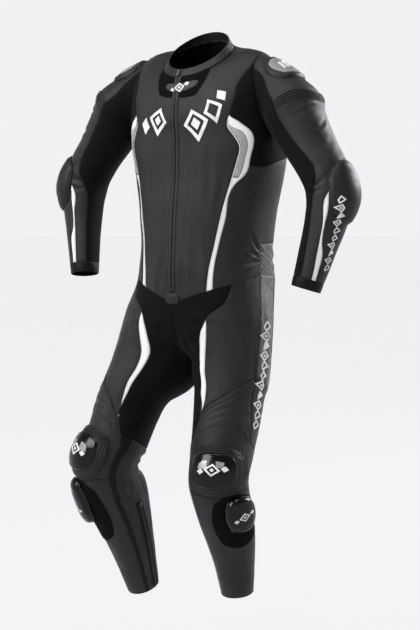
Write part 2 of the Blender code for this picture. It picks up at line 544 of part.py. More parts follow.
def leg_place(row, column, side):
    """Turn and level of a leg's grid points. Its columns leave the hip seam at the body's own vertices."""
    row, column = np.broadcast_arrays(np.asarray(row, float), np.asarray(column, float))
    side_line = BODY_COLUMNS[4].index
    body_column = np.where(column <= side_line, column, column + 1)
    start = 2 * body_place(BODY_ROWS[-1].index, body_column)[0] - 0.25

    def turn_at(column, level):
        lines = np.stack([curve(line.stations, level) for line in LEG_COLUMNS])
        close_tip(lines, 1)
        inner = (1 + np.cos(2 * math.pi * (between(LEG_COLUMNS, lines, column) - 0.25))) / 2
        shift = curve(LEG_TWIST[side], level) * np.clip(INNER_HOLD * inner, 0, 1)
        return start + (between(LEG_COLUMNS, lines, column) + shift - start) * eased(level / LEG_SPREAD)

    def level_at(row, turn):
        lines = np.stack([curve(line.stations, turn) for line in LEG_ROWS])
        return between(LEG_ROWS, lines, row)

    return settled(turn_at, level_at, row, column, 0.0)


def facing(surface, turn, level, low=-FREE, high=FREE, reach=LEVEL_STEP):
    """Unit vectors out of a surface, whose turn runs between low and high. Reach is the step in level."""
    before, after = (np.clip(turn + step, low, high) for step in (-TURN_STEP, TURN_STEP))
    along = surface(after, level) - surface(before, level)
    down = surface(turn, level + reach) - surface(turn, np.maximum(level - reach, 0.0))
    return unit(np.cross(down, along))


def body_face(turn, level):
    return facing(body_point, turn, level)


def collar_point(turn, height):
    """Points of the collar, from height 0 at the neck seam to 1 at its rim."""
    sine, cosine = np.sin(2 * math.pi * turn), np.cos(2 * math.pi * turn)
    y = COLLAR_Y - COLLAR_RADIUS * cosine
    rim = np.stack([COLLAR_RADIUS * sine, y, COLLAR_HEIGHT + COLLAR_SLOPE * (y - COLLAR_Y)], -1)
    height = np.asarray(height)[..., None]
    return body_point(turn, 0.0 * turn) * (1 - height) + rim * height


def collar_face(turn, height):
    """Unit vectors out of the collar, turned towards those of the body at the neck seam."""
    upright = np.stack([np.sin(2 * math.pi * turn), -np.cos(2 * math.pi * turn), 0 * turn], -1)
    seam = unit(upright + body_face(turn, 0 * turn))
    return unit(seam + (upright - seam) * np.clip(height / COLLAR_RUN_IN, 0, 1)[..., None])


def body_grid(rows, columns):
    """Points and outward vectors of the left half of the body's grid. At the armhole and at the neck they
    stand between the two panels that meet."""
    rows, columns = np.meshgrid(rows, columns, indexing="ij")
    turn, level = body_place(rows, columns)
    face = body_face(turn, level)
    edge = np.isin(columns, [BODY_COLUMNS[4].index, BODY_COLUMNS[5].index])
    edge &= (level >= ARMHOLE_TOP - 1e-6) & (level <= ARMHOLE_FOOT + 1e-6)
    front = columns == BODY_COLUMNS[4].index
    step = np.interp(rows - BODY_ROWS[2].index, np.arange(len(ARMHOLE_STEPS)), ARMHOLE_STEPS)
    shared = unit(face + sleeve_face(np.where(front, step, 1 - step), 0 * step, ARMHOLE_STEP))
    face = np.where(edge[..., None], shared, face)
    face = np.where((rows == 0)[..., None], collar_face(turn, 0 * turn), face)
    return body_point(turn, level), face, rows, columns


def sleeve_face(turn, level, reach=LEVEL_STEP):
    return -facing(sleeve_point, turn, level, reach=reach)


def sleeve_grid(rows, columns, side):
    rows, columns = np.meshgrid(rows, columns, indexing="ij")
    turn, level = sleeve_place(rows, columns, side)
    face = sleeve_face(turn, level)
    first = sleeve_face(turn, level, ARMHOLE_STEP)
    sine, cosine = np.sin(2 * math.pi * turn), np.cos(2 * math.pi * turn)
    around = SIDE - np.where(sine > 0, ARMHOLE_FRONT, ARMHOLE_BACK) * sine
    middle, half = (ARMHOLE_TOP + ARMHOLE_FOOT) / 2, (ARMHOLE_FOOT - ARMHOLE_TOP) / 2
    shared = unit(first + body_face(around, middle - half * cosine))
    return sleeve_point(turn, level), np.where((rows == 0)[..., None], shared, face), rows, columns


def leg_grid(rows, columns, side):
    """Points and outward vectors of a leg on the +X side. Above the crotch the inner line lies in the middle
    plane, and so do its outward vectors."""
    rings = {"left": LEG_LEFT, "right": LEG_RIGHT}[side]
    rows, columns = np.meshgrid(rows, columns, indexing="ij")
    turn, level = leg_place(rows, columns, side)

    def surface(turn, level):
        return leg_point(turn, level, rings)

    points = surface(turn, level)
    face = facing(surface, turn, level, INNER_FRONT, INNER_BACK)
    hip = body_face((turn + 0.25) / 2, hip_level((turn + 0.25) / 2))
    face = np.where((rows == 0)[..., None], hip, face)
    inner = (columns == 0) | (columns == LEG_COLUMNS[-1].index)
    upper = level <= CROTCH_LEVEL + 1e-6
    ends = (INNER_FRONT, INNER_BACK)
    shared = sum(facing(surface, end + 0 * turn, level, *ends) for end in ends)
    face = np.where((inner & (level >= CROTCH_LEVEL - 1e-6))[..., None], shared, face)
    face[..., 0] = np.where(inner & upper, 0.0, face[..., 0])
    points[..., 0] = np.where(upper, np.where(inner, 0.0, np.maximum(points[..., 0], 0.0)), points[..., 0])
    return points, unit(face), rows, columns


def mirrored(grid):
    points, face, rows, columns = grid
    flip = np.array([-1.0, 1.0, 1.0])
    return points * flip, face * flip, rows, columns


def covered(panel, row_total, column_total):
    """Which cells of a grid a panel covers."""
    cells = np.zeros((row_total, column_total), bool)
    for value, blocks in ((True, panel.blocks), (False, panel.holes)):
        for first_row, last_row, first_column, last_column in blocks:
            cells[first_row:last_row, first_column:last_column] = value
    return cells


def sheet_of(grid, cells):
    """A bmesh of the grid's cells, with the outward vector, row and column of each vertex kept in layers."""
    points, face, rows, columns = grid
    height, width = cells.shape
    bm = bmesh.new()
    bmesh.ops.create_grid(bm, x_segments=width, y_segments=height, size=0.5)
    outward = bm.verts.layers.float_vector.new("outward")
    place = bm.verts.layers.float_vector.new("place")
    spots = {}
    for vert in bm.verts:
        i = round((vert.co.y + 0.5) * height)
        j = round((vert.co.x + 0.5) * width)
        spots[vert] = (i, j)
    bm.faces.ensure_lookup_table()
    unused = [f for f in bm.faces if not cells[min(spots[v][0] for v in f.verts), min(spots[v][1] for v in f.verts)]]
    for vert, (i, j) in spots.items():
        vert.co = points[i, j]
        vert[outward] = face[i, j]
        vert[place] = (rows[i, j], columns[i, j], 0.0)
    bmesh.ops.delete(bm, geom=unused, context="FACES")
    bmesh.ops.remove_doubles(bm, verts=bm.verts, dist=WELD)
    bmesh.ops.delete(bm, geom=[e for e in bm.edges if not e.link_faces], context="EDGES")
    bmesh.ops.delete(bm, geom=[v for v in bm.verts if not v.link_faces], context="VERTS")
    return bm, outward, place


def draw_in(bm):
    """Moves the sheet's edge inward by half a seam gap, along the cloth."""
    moves = {}
    for edge in bm.edges:
        if len(edge.link_faces) != 1:
            continue
        loop = edge.link_loops[0]
        inward = loop.face.normal.cross(loop.link_loop_next.vert.co - loop.vert.co).normalized()
        for vert in edge.verts:
            moves.setdefault(vert, []).append(inward)
    for vert, inwards in moves.items():
        middle = sum(inwards[1:], inwards[0]).normalized()
        reach = max(middle.dot(inwards[0]), SHARPEST)
        vert.co += middle * (SEAM_GAP / 2 / reach)


def thicken(bm, outward, wall):
    """Adds the inner side and the edges of the wall. Returns the faces of the outer side."""
    outer = list(bm.faces)
    made = bmesh.ops.extrude_face_region(bm, geom=outer)["geom"]
    for vert in (item for item in made if isinstance(item, bmesh.types.BMVert)):
        vert.co -= vert[outward] * wall
    face_out(bm)
    return outer


def face_out(bm):
    bmesh.ops.recalc_face_normals(bm, faces=bm.faces)
    if bm.calc_volume(signed=True) < 0:
        bmesh.ops.reverse_faces(bm, faces=bm.faces)


def build_panel(name, panel, grid):
    bm, outward, place = sheet_of(grid, covered(panel, grid[0].shape[0] - 1, grid[0].shape[1] - 1))
    bm.normal_update()
    draw_in(bm)
    outer = thicken(bm, outward, panel.wall)
    if panel.ribs:
        raise_ribs(bm, outer, outward, place, panel)
    bmesh.ops.triangulate(bm, faces=bm.faces, quad_method="SHORT_EDGE")
    return make_object(name, bm, panel.finish)


def raise_ribs(bm, outer, outward, place, panel):
    """Raises ribs along the rows of cells, in the outer side alone."""
    height, first_row, last_row, count = panel.ribs
    across = set()
    for edge in {edge for face in outer for edge in face.edges}:
        low, high = sorted(vert[place][0] for vert in edge.verts)
        if high - low > 0.5 and low > first_row - 0.5 and high < last_row + 0.5:
            across.add(edge)
    made = bmesh.ops.subdivide_edges(bm, edges=list(across), cuts=2 * count - 1, use_grid_fill=True)
    for vert in {item for item in made["geom_inner"] if isinstance(item, bmesh.types.BMVert)}:
        if round((vert[place][0] % 1) * 2 * count) % 2:
            vert.co += vert[outward] * height


def round_out(x, y):
    """A square's points moved onto a round outline."""
    return x * np.sqrt(1 - ROUNDING * y * y), y * np.sqrt(1 - ROUNDING * x * x)


def cup_height(cup, turn, level, cups):
    """Heights of a cup's underside and of its top above the cloth."""
    under = cup.lift
    if cup.under:
        under = under + cup_height(cups[cup.under], turn, level, cups)[1]
    reach = ((turn - cup.turn) / cup.half_turn) ** 2 + ((level - cup.level) / cup.half_level) ** 2
    rise = np.clip(1 - reach ** (cup.flatness / 2), 0, 1) ** DOME_POWER
    return under, under + cup.edge + cup.dome * rise


def build_cup(name, cup, surface, face, cups, flip=1.0):
    """A moulded piece on a surface, with its faces laid out on a rounded grid."""
    bm = bmesh.new()
    bmesh.ops.create_grid(bm, x_segments=cup.cells, y_segments=cup.cells, size=1.0)
    square = np.array([vert.co[:2] for vert in bm.verts])
    x, y = round_out(square[:, 0], square[:, 1])
    turn, level = cup.turn + x * cup.half_turn, cup.level + y * cup.half_level
    points, out = surface(turn, level), face(turn, level)
    low, high = cup_height(cup, turn, level, cups)
    mirror = np.array([flip, 1.0, 1.0])
    bottom = (points + out * np.reshape(low + 0 * turn, (-1, 1))) * mirror
    top = (points + out * np.reshape(high, (-1, 1))) * mirror
    number = bm.verts.layers.int.new("number")
    for index, vert in enumerate(bm.verts):
        vert.co = bottom[index]
        vert[number] = index
    made = bmesh.ops.extrude_face_region(bm, geom=list(bm.faces))["geom"]
    for vert in (item for item in made if isinstance(item, bmesh.types.BMVert)):
        vert.co = top[vert[number]]
    face_out(bm)
    return make_object(name, bm, cup.finish)


def build_zip():
    """The front zip, from the collar's rim down to the point where the front panels close."""
    sides = np.array([-1.0, 0.0, 1.0])
    upper = np.linspace(ZIP_TOP, 0.0, 3)[:-1]
    lower = np.arange(ZIP_ROWS + 1) * ZIP_FOOT / ZIP_ROWS
    points, faces = [], []
    for height in upper:
        turn = sides * body_turn(np.zeros(3), np.zeros(3))
        points.append(collar_point(turn, 0 * turn + height))
        faces.append(collar_face(turn, 0 * turn + height))
    for level in lower:
        turn = sides * body_turn(np.zeros(3), np.full(3, level))
        points.append(body_point(turn, 0 * turn + level))
        faces.append(body_face(turn, 0 * turn + level))
    points = np.array(points)
    points[..., 0] -= sides * SEAM_GAP
    places = np.zeros(points.shape[:2])
    cells = np.ones((len(points) - 1, 2), bool)
    bm, outward, _ = sheet_of((points, np.array(faces), places, places), cells)
    thicken(bm, outward, ZIP_WALL)
    return make_object("front_zip", bm, "metal")


# The slider's plate: the edges of its cells across it and down it, from the pull tab's axis.
SLIDER_ACROSS = (-0.0042, -0.0030, -0.0019, 0.0019, 0.0030, 0.0042)
SLIDER_DOWN = (-0.0030, -0.0012, 0.0012, 0.0056, 0.0068)
SLIDER_WIDTHS = (0.75, 1.0, 1.0, 1.0, 0.6)  # share of its width at each of these
PULL_ROWS = (  # the pull tab: (down from its axis, half width, half thickness), barrel first
    (-0.0009, 0.0016, 0.0002),
    (-0.0006, 0.0016, 0.0006),
    (0.0000, 0.0016, 0.0009),
    (0.0006, 0.0016, 0.0006),
    (0.0022, 0.0016, 0.0005),
    (0.0032, 0.0028, 0.0005),
    (0.0095, 0.0034, 0.0005),
    (0.0112, 0.0022, 0.0005),
)


def slider_frame():
    """Where the pull tab's axis crosses the middle plane, and the directions across, down and out of the zip."""
    seam, slider, rim = (Vector(point) for point in collar_point(np.zeros(3), np.array([0, SLIDER_HEIGHT, 1])))
    across = Vector((1.0, 0.0, 0.0))
    down = (seam - rim).normalized()
    out = across.cross(down)
    out = out if out.y < 0 else -out
    return slider + out * HINGE_RISE, across, down, out


def build_zip_slider():
    """The slider: a tapered plate on the zip with a lug at each side of the pull tab."""
    axis, across, down, out = slider_frame()
    bm = bmesh.new()
    wide, long = len(SLIDER_ACROSS) - 1, len(SLIDER_DOWN) - 1
    bmesh.ops.create_grid(bm, x_segments=wide, y_segments=long, size=0.5)
    lugs = []
    for face in bm.faces:
        middle = face.calc_center_median()
        column, row = int((middle.x + 0.5) * wide), int((middle.y + 0.5) * long)
        if row == 1 and column in (1, wide - 2):
            lugs.append(face)
    for vert in bm.verts:
        j, i = round((vert.co.x + 0.5) * wide), round((vert.co.y + 0.5) * long)
        x = SLIDER_ACROSS[j] * SLIDER_WIDTHS[i]
        height = SLIDER_GAP + SLIDER_PLATE - HINGE_RISE
        vert.co = axis + across * x + down * SLIDER_DOWN[i] + out * height
    made = bmesh.ops.extrude_face_region(bm, geom=list(bm.faces))["geom"]
    for vert in (item for item in made if isinstance(item, bmesh.types.BMVert)):
        vert.co -= out * SLIDER_PLATE
    for lug in lugs:
        risen = bmesh.ops.extrude_discrete_faces(bm, faces=[lug])["faces"][0]
        for vert in risen.verts:
            vert.co += out * LUG_RISE
    face_out(bm)
    return make_object("zip_slider", bm, "metal")


def build_zip_pull():
    """The pull tab, hanging down over the slider from its axis."""
    axis, across, down, out = slider_frame()
    bm = bmesh.new()
    rows = len(PULL_ROWS) - 1
    bmesh.ops.create_grid(bm, x_segments=1, y_segments=rows, size=0.5)
    thickness = bm.verts.layers.float.new("thickness")
    for vert in bm.verts:
        drop, half_width, half_thick = PULL_ROWS[round((vert.co.y + 0.5) * rows)]
        side = math.copysign(half_width, vert.co.x)
        vert.co = axis + across * side + down * drop + out * half_thick
        vert[thickness] = 2 * half_thick
    made = bmesh.ops.extrude_face_region(bm, geom=list(bm.faces))["geom"]
    for vert in (item for item in made if isinstance(item, bmesh.types.BMVert)):
        vert.co -= out * vert[thickness]
    for vert in bm.verts:
        vert.co -= axis
    face_out(bm)
    made = make_object("zip_pull", bm, "metal")
    made.location = axis
    return made


def build_collar():
    """The collar, open at the zip."""
    body_turns, _ = body_place(0, np.arange(0, BODY_COLUMNS[-1].index + 1))
    half = np.unique(np.round(body_turns, 6))
    turns = np.concatenate([half, 1 - half[-2::-1]])
    turn, height = np.meshgrid(turns, np.linspace(0.0, 1.0, 3))
    places = np.zeros(turn.shape)
    bm, outward, _ = sheet_of(
        (collar_point(turn, height), collar_face(turn, height), places, places),
        np.ones((2, len(turns) - 1), bool),
    )
    bm.normal_update()
    draw_in(bm)
    thicken(bm, outward, COLLAR_WALL)
    return make_object("collar", bm, "soft")


def material(name, finish):
    colour, roughness, metallic = FINISHES[finish]
    made = bpy.data.materials.new(name)
    made.use_nodes = True
    shader = made.node_tree.nodes["Principled BSDF"]
    shader.inputs["Base Color"].default_value = (*colour, 1.0)
    shader.inputs["Roughness"].default_value = roughness
    shader.inputs["Metallic"].default_value = metallic
    made.diffuse_color = (*colour, 1.0)
    return made


def make_object(name, bm, finish):
    mesh = bpy.data.meshes.new(name)
    bm.to_mesh(mesh)
    bm.free()
    mesh.shade_smooth()
    mesh.set_sharp_from_angle(angle=math.radians(SHARP_ANGLE))
    mesh.materials.append(material(name, finish))
    return bpy.data.objects.new(name, mesh)


def build_torso():
    made = []
    columns = np.arange(BODY_COLUMNS[-1].index + 1)
    left = body_grid(np.arange(BODY_ROWS[-1].index + 1), columns)
    for side, grid in (("left", left), ("right", mirrored(left))):
        made += [build_panel(f"{name}_{side}", panel, grid) for name, panel in BODY_PANELS.items()]
    right = mirrored(left)
    first = BODY_COLUMNS[5].index
    whole = tuple(np.concatenate([a[:, first:], b[:, -2 : first - 1 : -1]], 1) for a, b in zip(left, right))
    made.append(build_panel("back", BACK_PANEL, whole))
    made += [build_collar(), build_zip(), build_zip_slider(), build_zip_pull()]
    made.append(build_cup("neck_badge", NECK_BADGE, body_point, body_face, {}))
    made.append(build_cup("zip_cover", ZIP_COVER, body_point, body_face, {}))
    return made


def build_sleeve(side):
    grid = sleeve_grid(
        np.arange(SLEEVE_ROWS[-1].index + 1), np.arange(SLEEVE_COLUMNS[-1].index + 1), side
    )
    flip = 1.0 if side == "left" else -1.0
    grid = grid if side == "left" else mirrored(grid)
    made = [build_panel(f"{name}_{side}", panel, grid) for name, panel in SLEEVE_PANELS.items()]
    for name, cup in (("shoulder_cup", SHOULDER_CUP), ("elbow_cup", ELBOW_CUP)):
        twist = float(curve(SLEEVE_TWIST[side], cup.level))
        placed = cup._replace(turn=cup.turn + twist)
        made.append(build_cup(f"{name}_{side}", placed, sleeve_point, sleeve_face, {}, flip))
    return made


def build_leg(side):
    rings = {"left": LEG_LEFT, "right": LEG_RIGHT}[side]
    grid = leg_grid(np.arange(LEG_ROWS[-1].index + 1), np.arange(LEG_COLUMNS[-1].index + 1), side)
    flip = 1.0 if side == "left" else -1.0
    grid = grid if side == "left" else mirrored(grid)
    made = [build_panel(f"{name}_{side}", panel, grid) for name, panel in LEG_PANELS.items()]
    cups = {}
    for name, cup in LEG_CUPS.items():
        turn, level = LEG_CUP_MOVES[side][name]
        cups[name] = cup._replace(turn=cup.turn + turn, level=cup.level + level)

    def surface(turn, level):
        return leg_point(turn, level, rings)

    def face(turn, level):
        return facing(surface, turn, level)

    made += [build_cup(f"{name}_{side}", cup, surface, face, cups, flip) for name, cup in cups.items()]
    return made


def main():
    for obj in list(bpy.data.objects):
        bpy.data.objects.remove(obj)
    collection = bpy.data.collections.new("race_suit")
    bpy.context.scene.collection.children.link(collection)
    made = build_torso()
    for side in ("left", "right"):
        made += build_sleeve(side) + build_leg(side)
    for obj in made:
        collection.objects.link(obj)


if __name__ == "__main__":
    main()
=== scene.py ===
"""Motorcycle race suit: how the empty one-piece leather suit looks, filled out as when worn, with its sewn
seams, creases, moulded cups, knee sliders and front zip. Metres, +Z up, the front faces -Y and the wearer's
left is +X. Each tube of cloth is built on the +X side and mirrored for the wearer's right."""

import logging
import math
from dataclasses import dataclass, replace
from enum import Enum
from typing import Callable, NamedTuple, Optional, Sequence

import bmesh
import bpy
import numpy as np
from mathutils import Matrix, Vector, noise
from mathutils.kdtree import KDTree


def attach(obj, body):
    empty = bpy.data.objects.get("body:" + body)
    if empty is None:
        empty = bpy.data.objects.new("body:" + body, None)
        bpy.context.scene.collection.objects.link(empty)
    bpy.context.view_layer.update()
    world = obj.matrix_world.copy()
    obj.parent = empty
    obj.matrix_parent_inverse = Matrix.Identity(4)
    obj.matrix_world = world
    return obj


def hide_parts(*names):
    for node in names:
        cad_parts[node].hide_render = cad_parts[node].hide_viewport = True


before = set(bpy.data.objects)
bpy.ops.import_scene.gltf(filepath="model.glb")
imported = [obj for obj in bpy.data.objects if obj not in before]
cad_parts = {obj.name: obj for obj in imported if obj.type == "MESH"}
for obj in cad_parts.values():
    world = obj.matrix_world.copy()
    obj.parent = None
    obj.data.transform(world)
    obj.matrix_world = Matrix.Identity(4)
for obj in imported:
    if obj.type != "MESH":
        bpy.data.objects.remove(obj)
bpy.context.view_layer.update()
LOG = logging.getLogger("race_suit")
Array = np.ndarray
Mesh = bmesh.types.BMesh
Tree = bpy.types.NodeTree
Socket = bpy.types.NodeSocket

SUIT = "suit"  # the body that every piece but the pull tab rides on

LEATHER = 0.0016  # wall of a leather panel
STRETCH = 0.0011
SEAM_GAP = 0.0004  # between two panels
SEAM_DROP = 0.0010  # depth to which a panel's edge rolls down into its seam
SEAM_REACH = 0.0020  # distance over which it does
WELD = 2e-6
SHARPEST = 0.35  # least cosine by which a corner's draw-in is lengthened
EDGE_LINE = 0.35  # of a fine cell: a further grid line this near to each seam, for its rolled edge
WAVES = 314.16  # scale at which a wave texture repeats each millimetre
COAT_ROUGHNESS = 0.12
SHEEN_ROUGHNESS = 0.4
STITCH_ROOM = 0.8  # of a stitch's inset that it keeps from every border
RIB_BLUNTNESS = 0.7
RIB_RUN_IN = 0.006  # distance from a seam over which ribs rise
ROUNDNESS = 0.38  # of a moulded piece's corners
CLEAR_OF_SEAMS = 0.01  # seam distance of a piece without seams
ZIP_HALF = 0.0065
ZIP_FOOT = 9.56  # level at which the front panels begin to close below the zip
ZIP_CLOSE = 0.3
ZIP_TOP = 0.96  # height of the zip's upper end on the collar
RIBBON_DOME = 0.0006
RIBBON_SEAM = 0.003  # distance at which a strip's leather is a little rubbed
TOOTH_SHIFT = 0.0007  # of each tooth to its own side
TOOTH_SINK = 0.0003

COLLAR_RADIUS = 0.0675
COLLAR_Y = -0.032
COLLAR_HEIGHT = 0.020
COLLAR_SLOPE = 0.635  # rise of the rim towards the back
COLLAR_RUN_IN = 0.5
COLLAR_WALL = 0.0030

TIP_WIDTH = 0.004  # a stripe narrower than this, in turns, has closed to its tip
TURN_STEP = 0.004  # steps over which a form's slopes are taken
LEVEL_STEP = 0.04
ARMHOLE_STEP = 0.22
CROSSING_PASSES = 8
FIRST_TURN = 0.2
INNER_HOLD = 3.0  # how soon a leg's twist fades towards its inner line
CROTCH_LEVEL = 2.0
INNER_FRONT = -0.25  # turns of a leg's inner line, round its front and round its back
INNER_BACK = 0.75
FREE = 10.0


class Side(Enum):
    """The wearer's sides."""

    LEFT = "left"
    RIGHT = "right"

    @property
    def flip(self) -> float:
        """1 on the wearer's left and -1 on the right."""
        return 1.0 if self is Side.LEFT else -1.0

    @property
    def mirror(self) -> Array:
        """What brings a point of the +X side to this side."""
        return np.array([self.flip, 1.0, 1.0])


class BodyRing(NamedTuple):
    """One level of the body tube, from the collar down."""

    height: float
    centre_y: float
    half_width: float
    front: float
    back: float
    square: float
    tilt: float
    lift: float


class LimbRing(NamedTuple):
    """One section of a sleeve or a leg, square to its centre line."""

    out: float
    y: float
    height: float
    across: float
    front: float
    back: float
    heading: float


class Line(NamedTuple):
    """A seam or guide line of a tube's grid. A column's stations are (level, turn), a row's (turn, level)."""

    name: str
    index: int
    stations: tuple


BODY = tuple(BodyRing(*row) for row in (
    (0.001, -0.032, 0.078, 0.077, 0.077, 2.0, 0.54, 0.004),
    (-0.036, -0.020, 0.116, 0.099, 0.093, 2.0, 0.45, 0.049),
    (-0.076, -0.006, 0.154, 0.117, 0.112, 2.1, 0.30, 0.079),
    (-0.118, 0.003, 0.178, 0.127, 0.120, 2.3, 0.15, 0.078),
    (-0.160, 0.009, 0.186, 0.129, 0.123, 2.4, 0.05, 0.040),
    (-0.205, 0.013, 0.185, 0.133, 0.118, 2.4, 0.00, 0.010),
    (-0.260, 0.016, 0.177, 0.137, 0.110, 2.3, 0.00, 0.000),
    (-0.330, 0.016, 0.162, 0.145, 0.101, 2.3, 0.00, 0.000),
    (-0.410, 0.014, 0.152, 0.148, 0.097, 2.3, 0.00, 0.000),
    (-0.470, 0.009, 0.156, 0.146, 0.107, 2.3, 0.00, 0.000),
    (-0.530, 0.003, 0.168, 0.136, 0.120, 2.3, 0.00, 0.000),
    (-0.600, 0.000, 0.182, 0.120, 0.130, 2.3, 0.00, 0.000),
))

SLEEVE = tuple(LimbRing(*row) for row in (
    (0.2295, -0.006, -0.1105, 0.0665, 0.075, 0.075, 0),
    (0.252, -0.010, -0.147, 0.061, 0.067, 0.067, 0),
    (0.288, -0.014, -0.200, 0.054, 0.058, 0.058, 0),
    (0.322, -0.018, -0.250, 0.052, 0.055, 0.055, 0),
    (0.337, -0.023, -0.297, 0.051, 0.054, 0.054, 0),
    (0.333, -0.034, -0.350, 0.045, 0.047, 0.047, 0),
    (0.319, -0.050, -0.420, 0.038, 0.039, 0.039, 0),
    (0.304, -0.066, -0.492, 0.032, 0.033, 0.033, 0),
))

LEG_LEFT = tuple(LimbRing(*row) for row in (
    (0.092, -0.035, -0.700, 0.083, 0.090, 0.096, 8),
    (0.096, -0.050, -0.742, 0.078, 0.084, 0.090, 12),
    (0.102, -0.068, -0.790, 0.075, 0.080, 0.084, 18),
    (0.111, -0.102, -0.870, 0.069, 0.072, 0.076, 26),
    (0.118, -0.123, -0.925, 0.066, 0.067, 0.080, 30),
    (0.123, -0.112, -0.980, 0.062, 0.062, 0.088, 30),
    (0.127, -0.094, -1.040, 0.057, 0.056, 0.078, 30),
    (0.131, -0.080, -1.110, 0.046, 0.046, 0.058, 30),
    (0.134, -0.072, -1.185, 0.036, 0.038, 0.041, 30),
))

LEG_RIGHT = tuple(LimbRing(*row) for row in (
    (0.118, -0.070, -0.700, 0.083, 0.090, 0.096, 8),
    (0.134, -0.087, -0.742, 0.073, 0.080, 0.086, 12),
    (0.149, -0.107, -0.790, 0.070, 0.075, 0.080, 18),
    (0.158, -0.137, -0.860, 0.068, 0.071, 0.074, 26),
    (0.176, -0.158, -0.915, 0.066, 0.067, 0.080, 30),
    (0.176, -0.140, -0.985, 0.061, 0.062, 0.090, 30),
    (0.170, -0.108, -1.050, 0.055, 0.056, 0.077, 30),
    (0.163, -0.070, -1.140, 0.045, 0.046, 0.055, 30),
    (0.157, -0.040, -1.228, 0.035, 0.036, 0.039, 30),
))

ARMHOLE_TOP = 1.80  # level of the armhole's top on the shoulder ridge
ARMHOLE_FOOT = 4.75  # level of its foot under the arm
ARMHOLE_FRONT = 0.075  # reach of its front edge, in turns
ARMHOLE_BACK = 0.075
ARMHOLE_RUN_IN = 1.35  # how far outside the armhole the body steers the sleeve
SIDE = 0.25  # turn of the side line

HIP_FRONT = 10.1  # level of the hip seam at the middle of the front
HIP_SIDE = 9.1
HIP_BACK = 9.6
HIP_RUN_IN = 1.5  # levels above the hip seam from which the body steers the leg
HIP_JOINT_OUT = 0.088
HIP_JOINT_HEIGHT = -0.600
SEAT_FRONT = 0.022  # how far the crotch seam stands forward of a straight run
SEAT_BACK = 0.066
SEAT_DROP = 0.015
HIP_FULLNESS = 0.006
CROTCH = (0.0, -0.042, -0.688)

# The armhole's vertices lie at these turns from its top to its foot, on both of its sides.
ARMHOLE_STEPS = (0.0, 0.03, 0.06, 0.09, 0.125, 0.17, 0.21, 0.25, 0.30, 0.35, 0.40, 0.45, 0.5)
SLEEVE_SPREAD = 0.6  # level at which the sleeve's columns have left the armhole's spacing
LEG_SPREAD = 0.5
SIDE_LINE = ((0.0, 0.25), (4.75, 0.25), (5.0, 0.25), (6.6, 0.24), (8.0, 0.225), (10.4, 0.22))

BODY_COLUMNS = (
    Line("zip", 0, ((0.0, 0.0), (11.0, 0.0))),
    Line("insert", 2, ((0.0, 0.150), (0.5, 0.115), (1.0, 0.082), (1.3, 0.062), (3.5, 0.050), (11.0, 0.045))),
    Line("blade_inner", 5, ((0.0, 0.25), (1.80, 0.25), (2.05, 0.20), (2.16, 0.177), (2.32, 0.155),
                            (2.84, 0.133), (3.32, 0.118), (3.45, 0.114), (3.72, 0.107), (4.00, 0.107),
                            (4.40, 0.118), (4.84, 0.130), (5.40, 0.126), (5.96, 0.120), (7.40, 0.108),
                            (7.92, 0.1025), (8.48, 0.095), (9.52, 0.083), (11.0, 0.073))),
    Line("blade_outer", 6, ((0.0, 0.25), (1.80, 0.25), (2.05, 0.20), (2.16, 0.177), (2.32, 0.155),
                            (2.84, 0.133), (3.32, 0.118), (3.45, 0.114), (3.92, 0.133), (4.44, 0.160),
                            (5.28, 0.157), (5.90, 0.148), (6.14, 0.133), (7.28, 0.122), (7.92, 0.1135),
                            (8.48, 0.1065), (9.48, 0.0975), (11.0, 0.090))),
    Line("armhole_front", 9, SIDE_LINE),
    Line("armhole_back", 10, SIDE_LINE),
    Line("side_back", 12, ((0.0, 0.33), (3.3, 0.345), (4.75, 0.335), (5.5, 0.32), (8.0, 0.31), (11.0, 0.31))),
    Line("centre_back", 16, ((0.0, 0.5), (11.0, 0.5))),
)
BODY_ROWS = (
    Line("collar", 0, ((0.0, 0.0), (0.5, 0.0))),
    Line("insert_foot", 2, ((0.0, 1.05), (0.06, 1.30), (0.12, 1.35), (0.5, 1.20))),
    Line("armhole_top", 4, ((0.0, ARMHOLE_TOP), (0.5, ARMHOLE_TOP))),
    Line("armhole_foot", 16, ((0.0, ARMHOLE_FOOT), (0.5, ARMHOLE_FOOT))),
    Line("flank_top", 18, ((0.0, 5.5), (0.155, 5.56), (0.20, 5.60), (0.25, 5.45), (0.32, 5.35), (0.5, 5.5))),
    Line("rib_top", 22, ((0.0, 7.95), (0.5, 7.95))),
    Line("hip", 26, ((0.0, HIP_FRONT), (0.5, HIP_BACK))),
)

SLEEVE_COLUMNS = (
    Line("top", 0, ((0.0, 0.0), (8.0, 0.0))),
    Line("stripe_outer", 2, ((0.0, 0.06), (1.0, 0.09), (3.8, 0.11), (4.85, 0.168), (5.64, 0.163),
                             (6.68, 0.135), (6.85, 0.112), (7.4, 0.09), (8.0, 0.08))),
    Line("stripe_inner", 3, ((0.0, 0.09), (1.0, 0.15), (3.8, 0.16), (4.85, 0.168), (5.12, 0.195),
                             (6.2, 0.178), (6.96, 0.158), (7.44, 0.140), (8.0, 0.13))),
    Line("front_seam", 4, ((0.0, 0.125), (0.4, 0.205), (1.16, 0.262), (2.1, 0.262), (3.0, 0.245),
                           (3.5, 0.228), (4.1, 0.235), (4.64, 0.275), (5.4, 0.305), (6.64, 0.28),
                           (8.0, 0.25))),
    Line("under", 12, ((0.0, 0.5), (8.0, 0.5))),
    Line("back_seam", 20, ((0.0, 0.875), (0.4, 0.795), (1.16, 0.74), (3.0, 0.755), (4.1, 0.765),
                           (4.64, 0.73), (5.4, 0.70), (8.0, 0.74))),
    Line("top_again", 24, ((0.0, 1.0), (8.0, 1.0))),
)
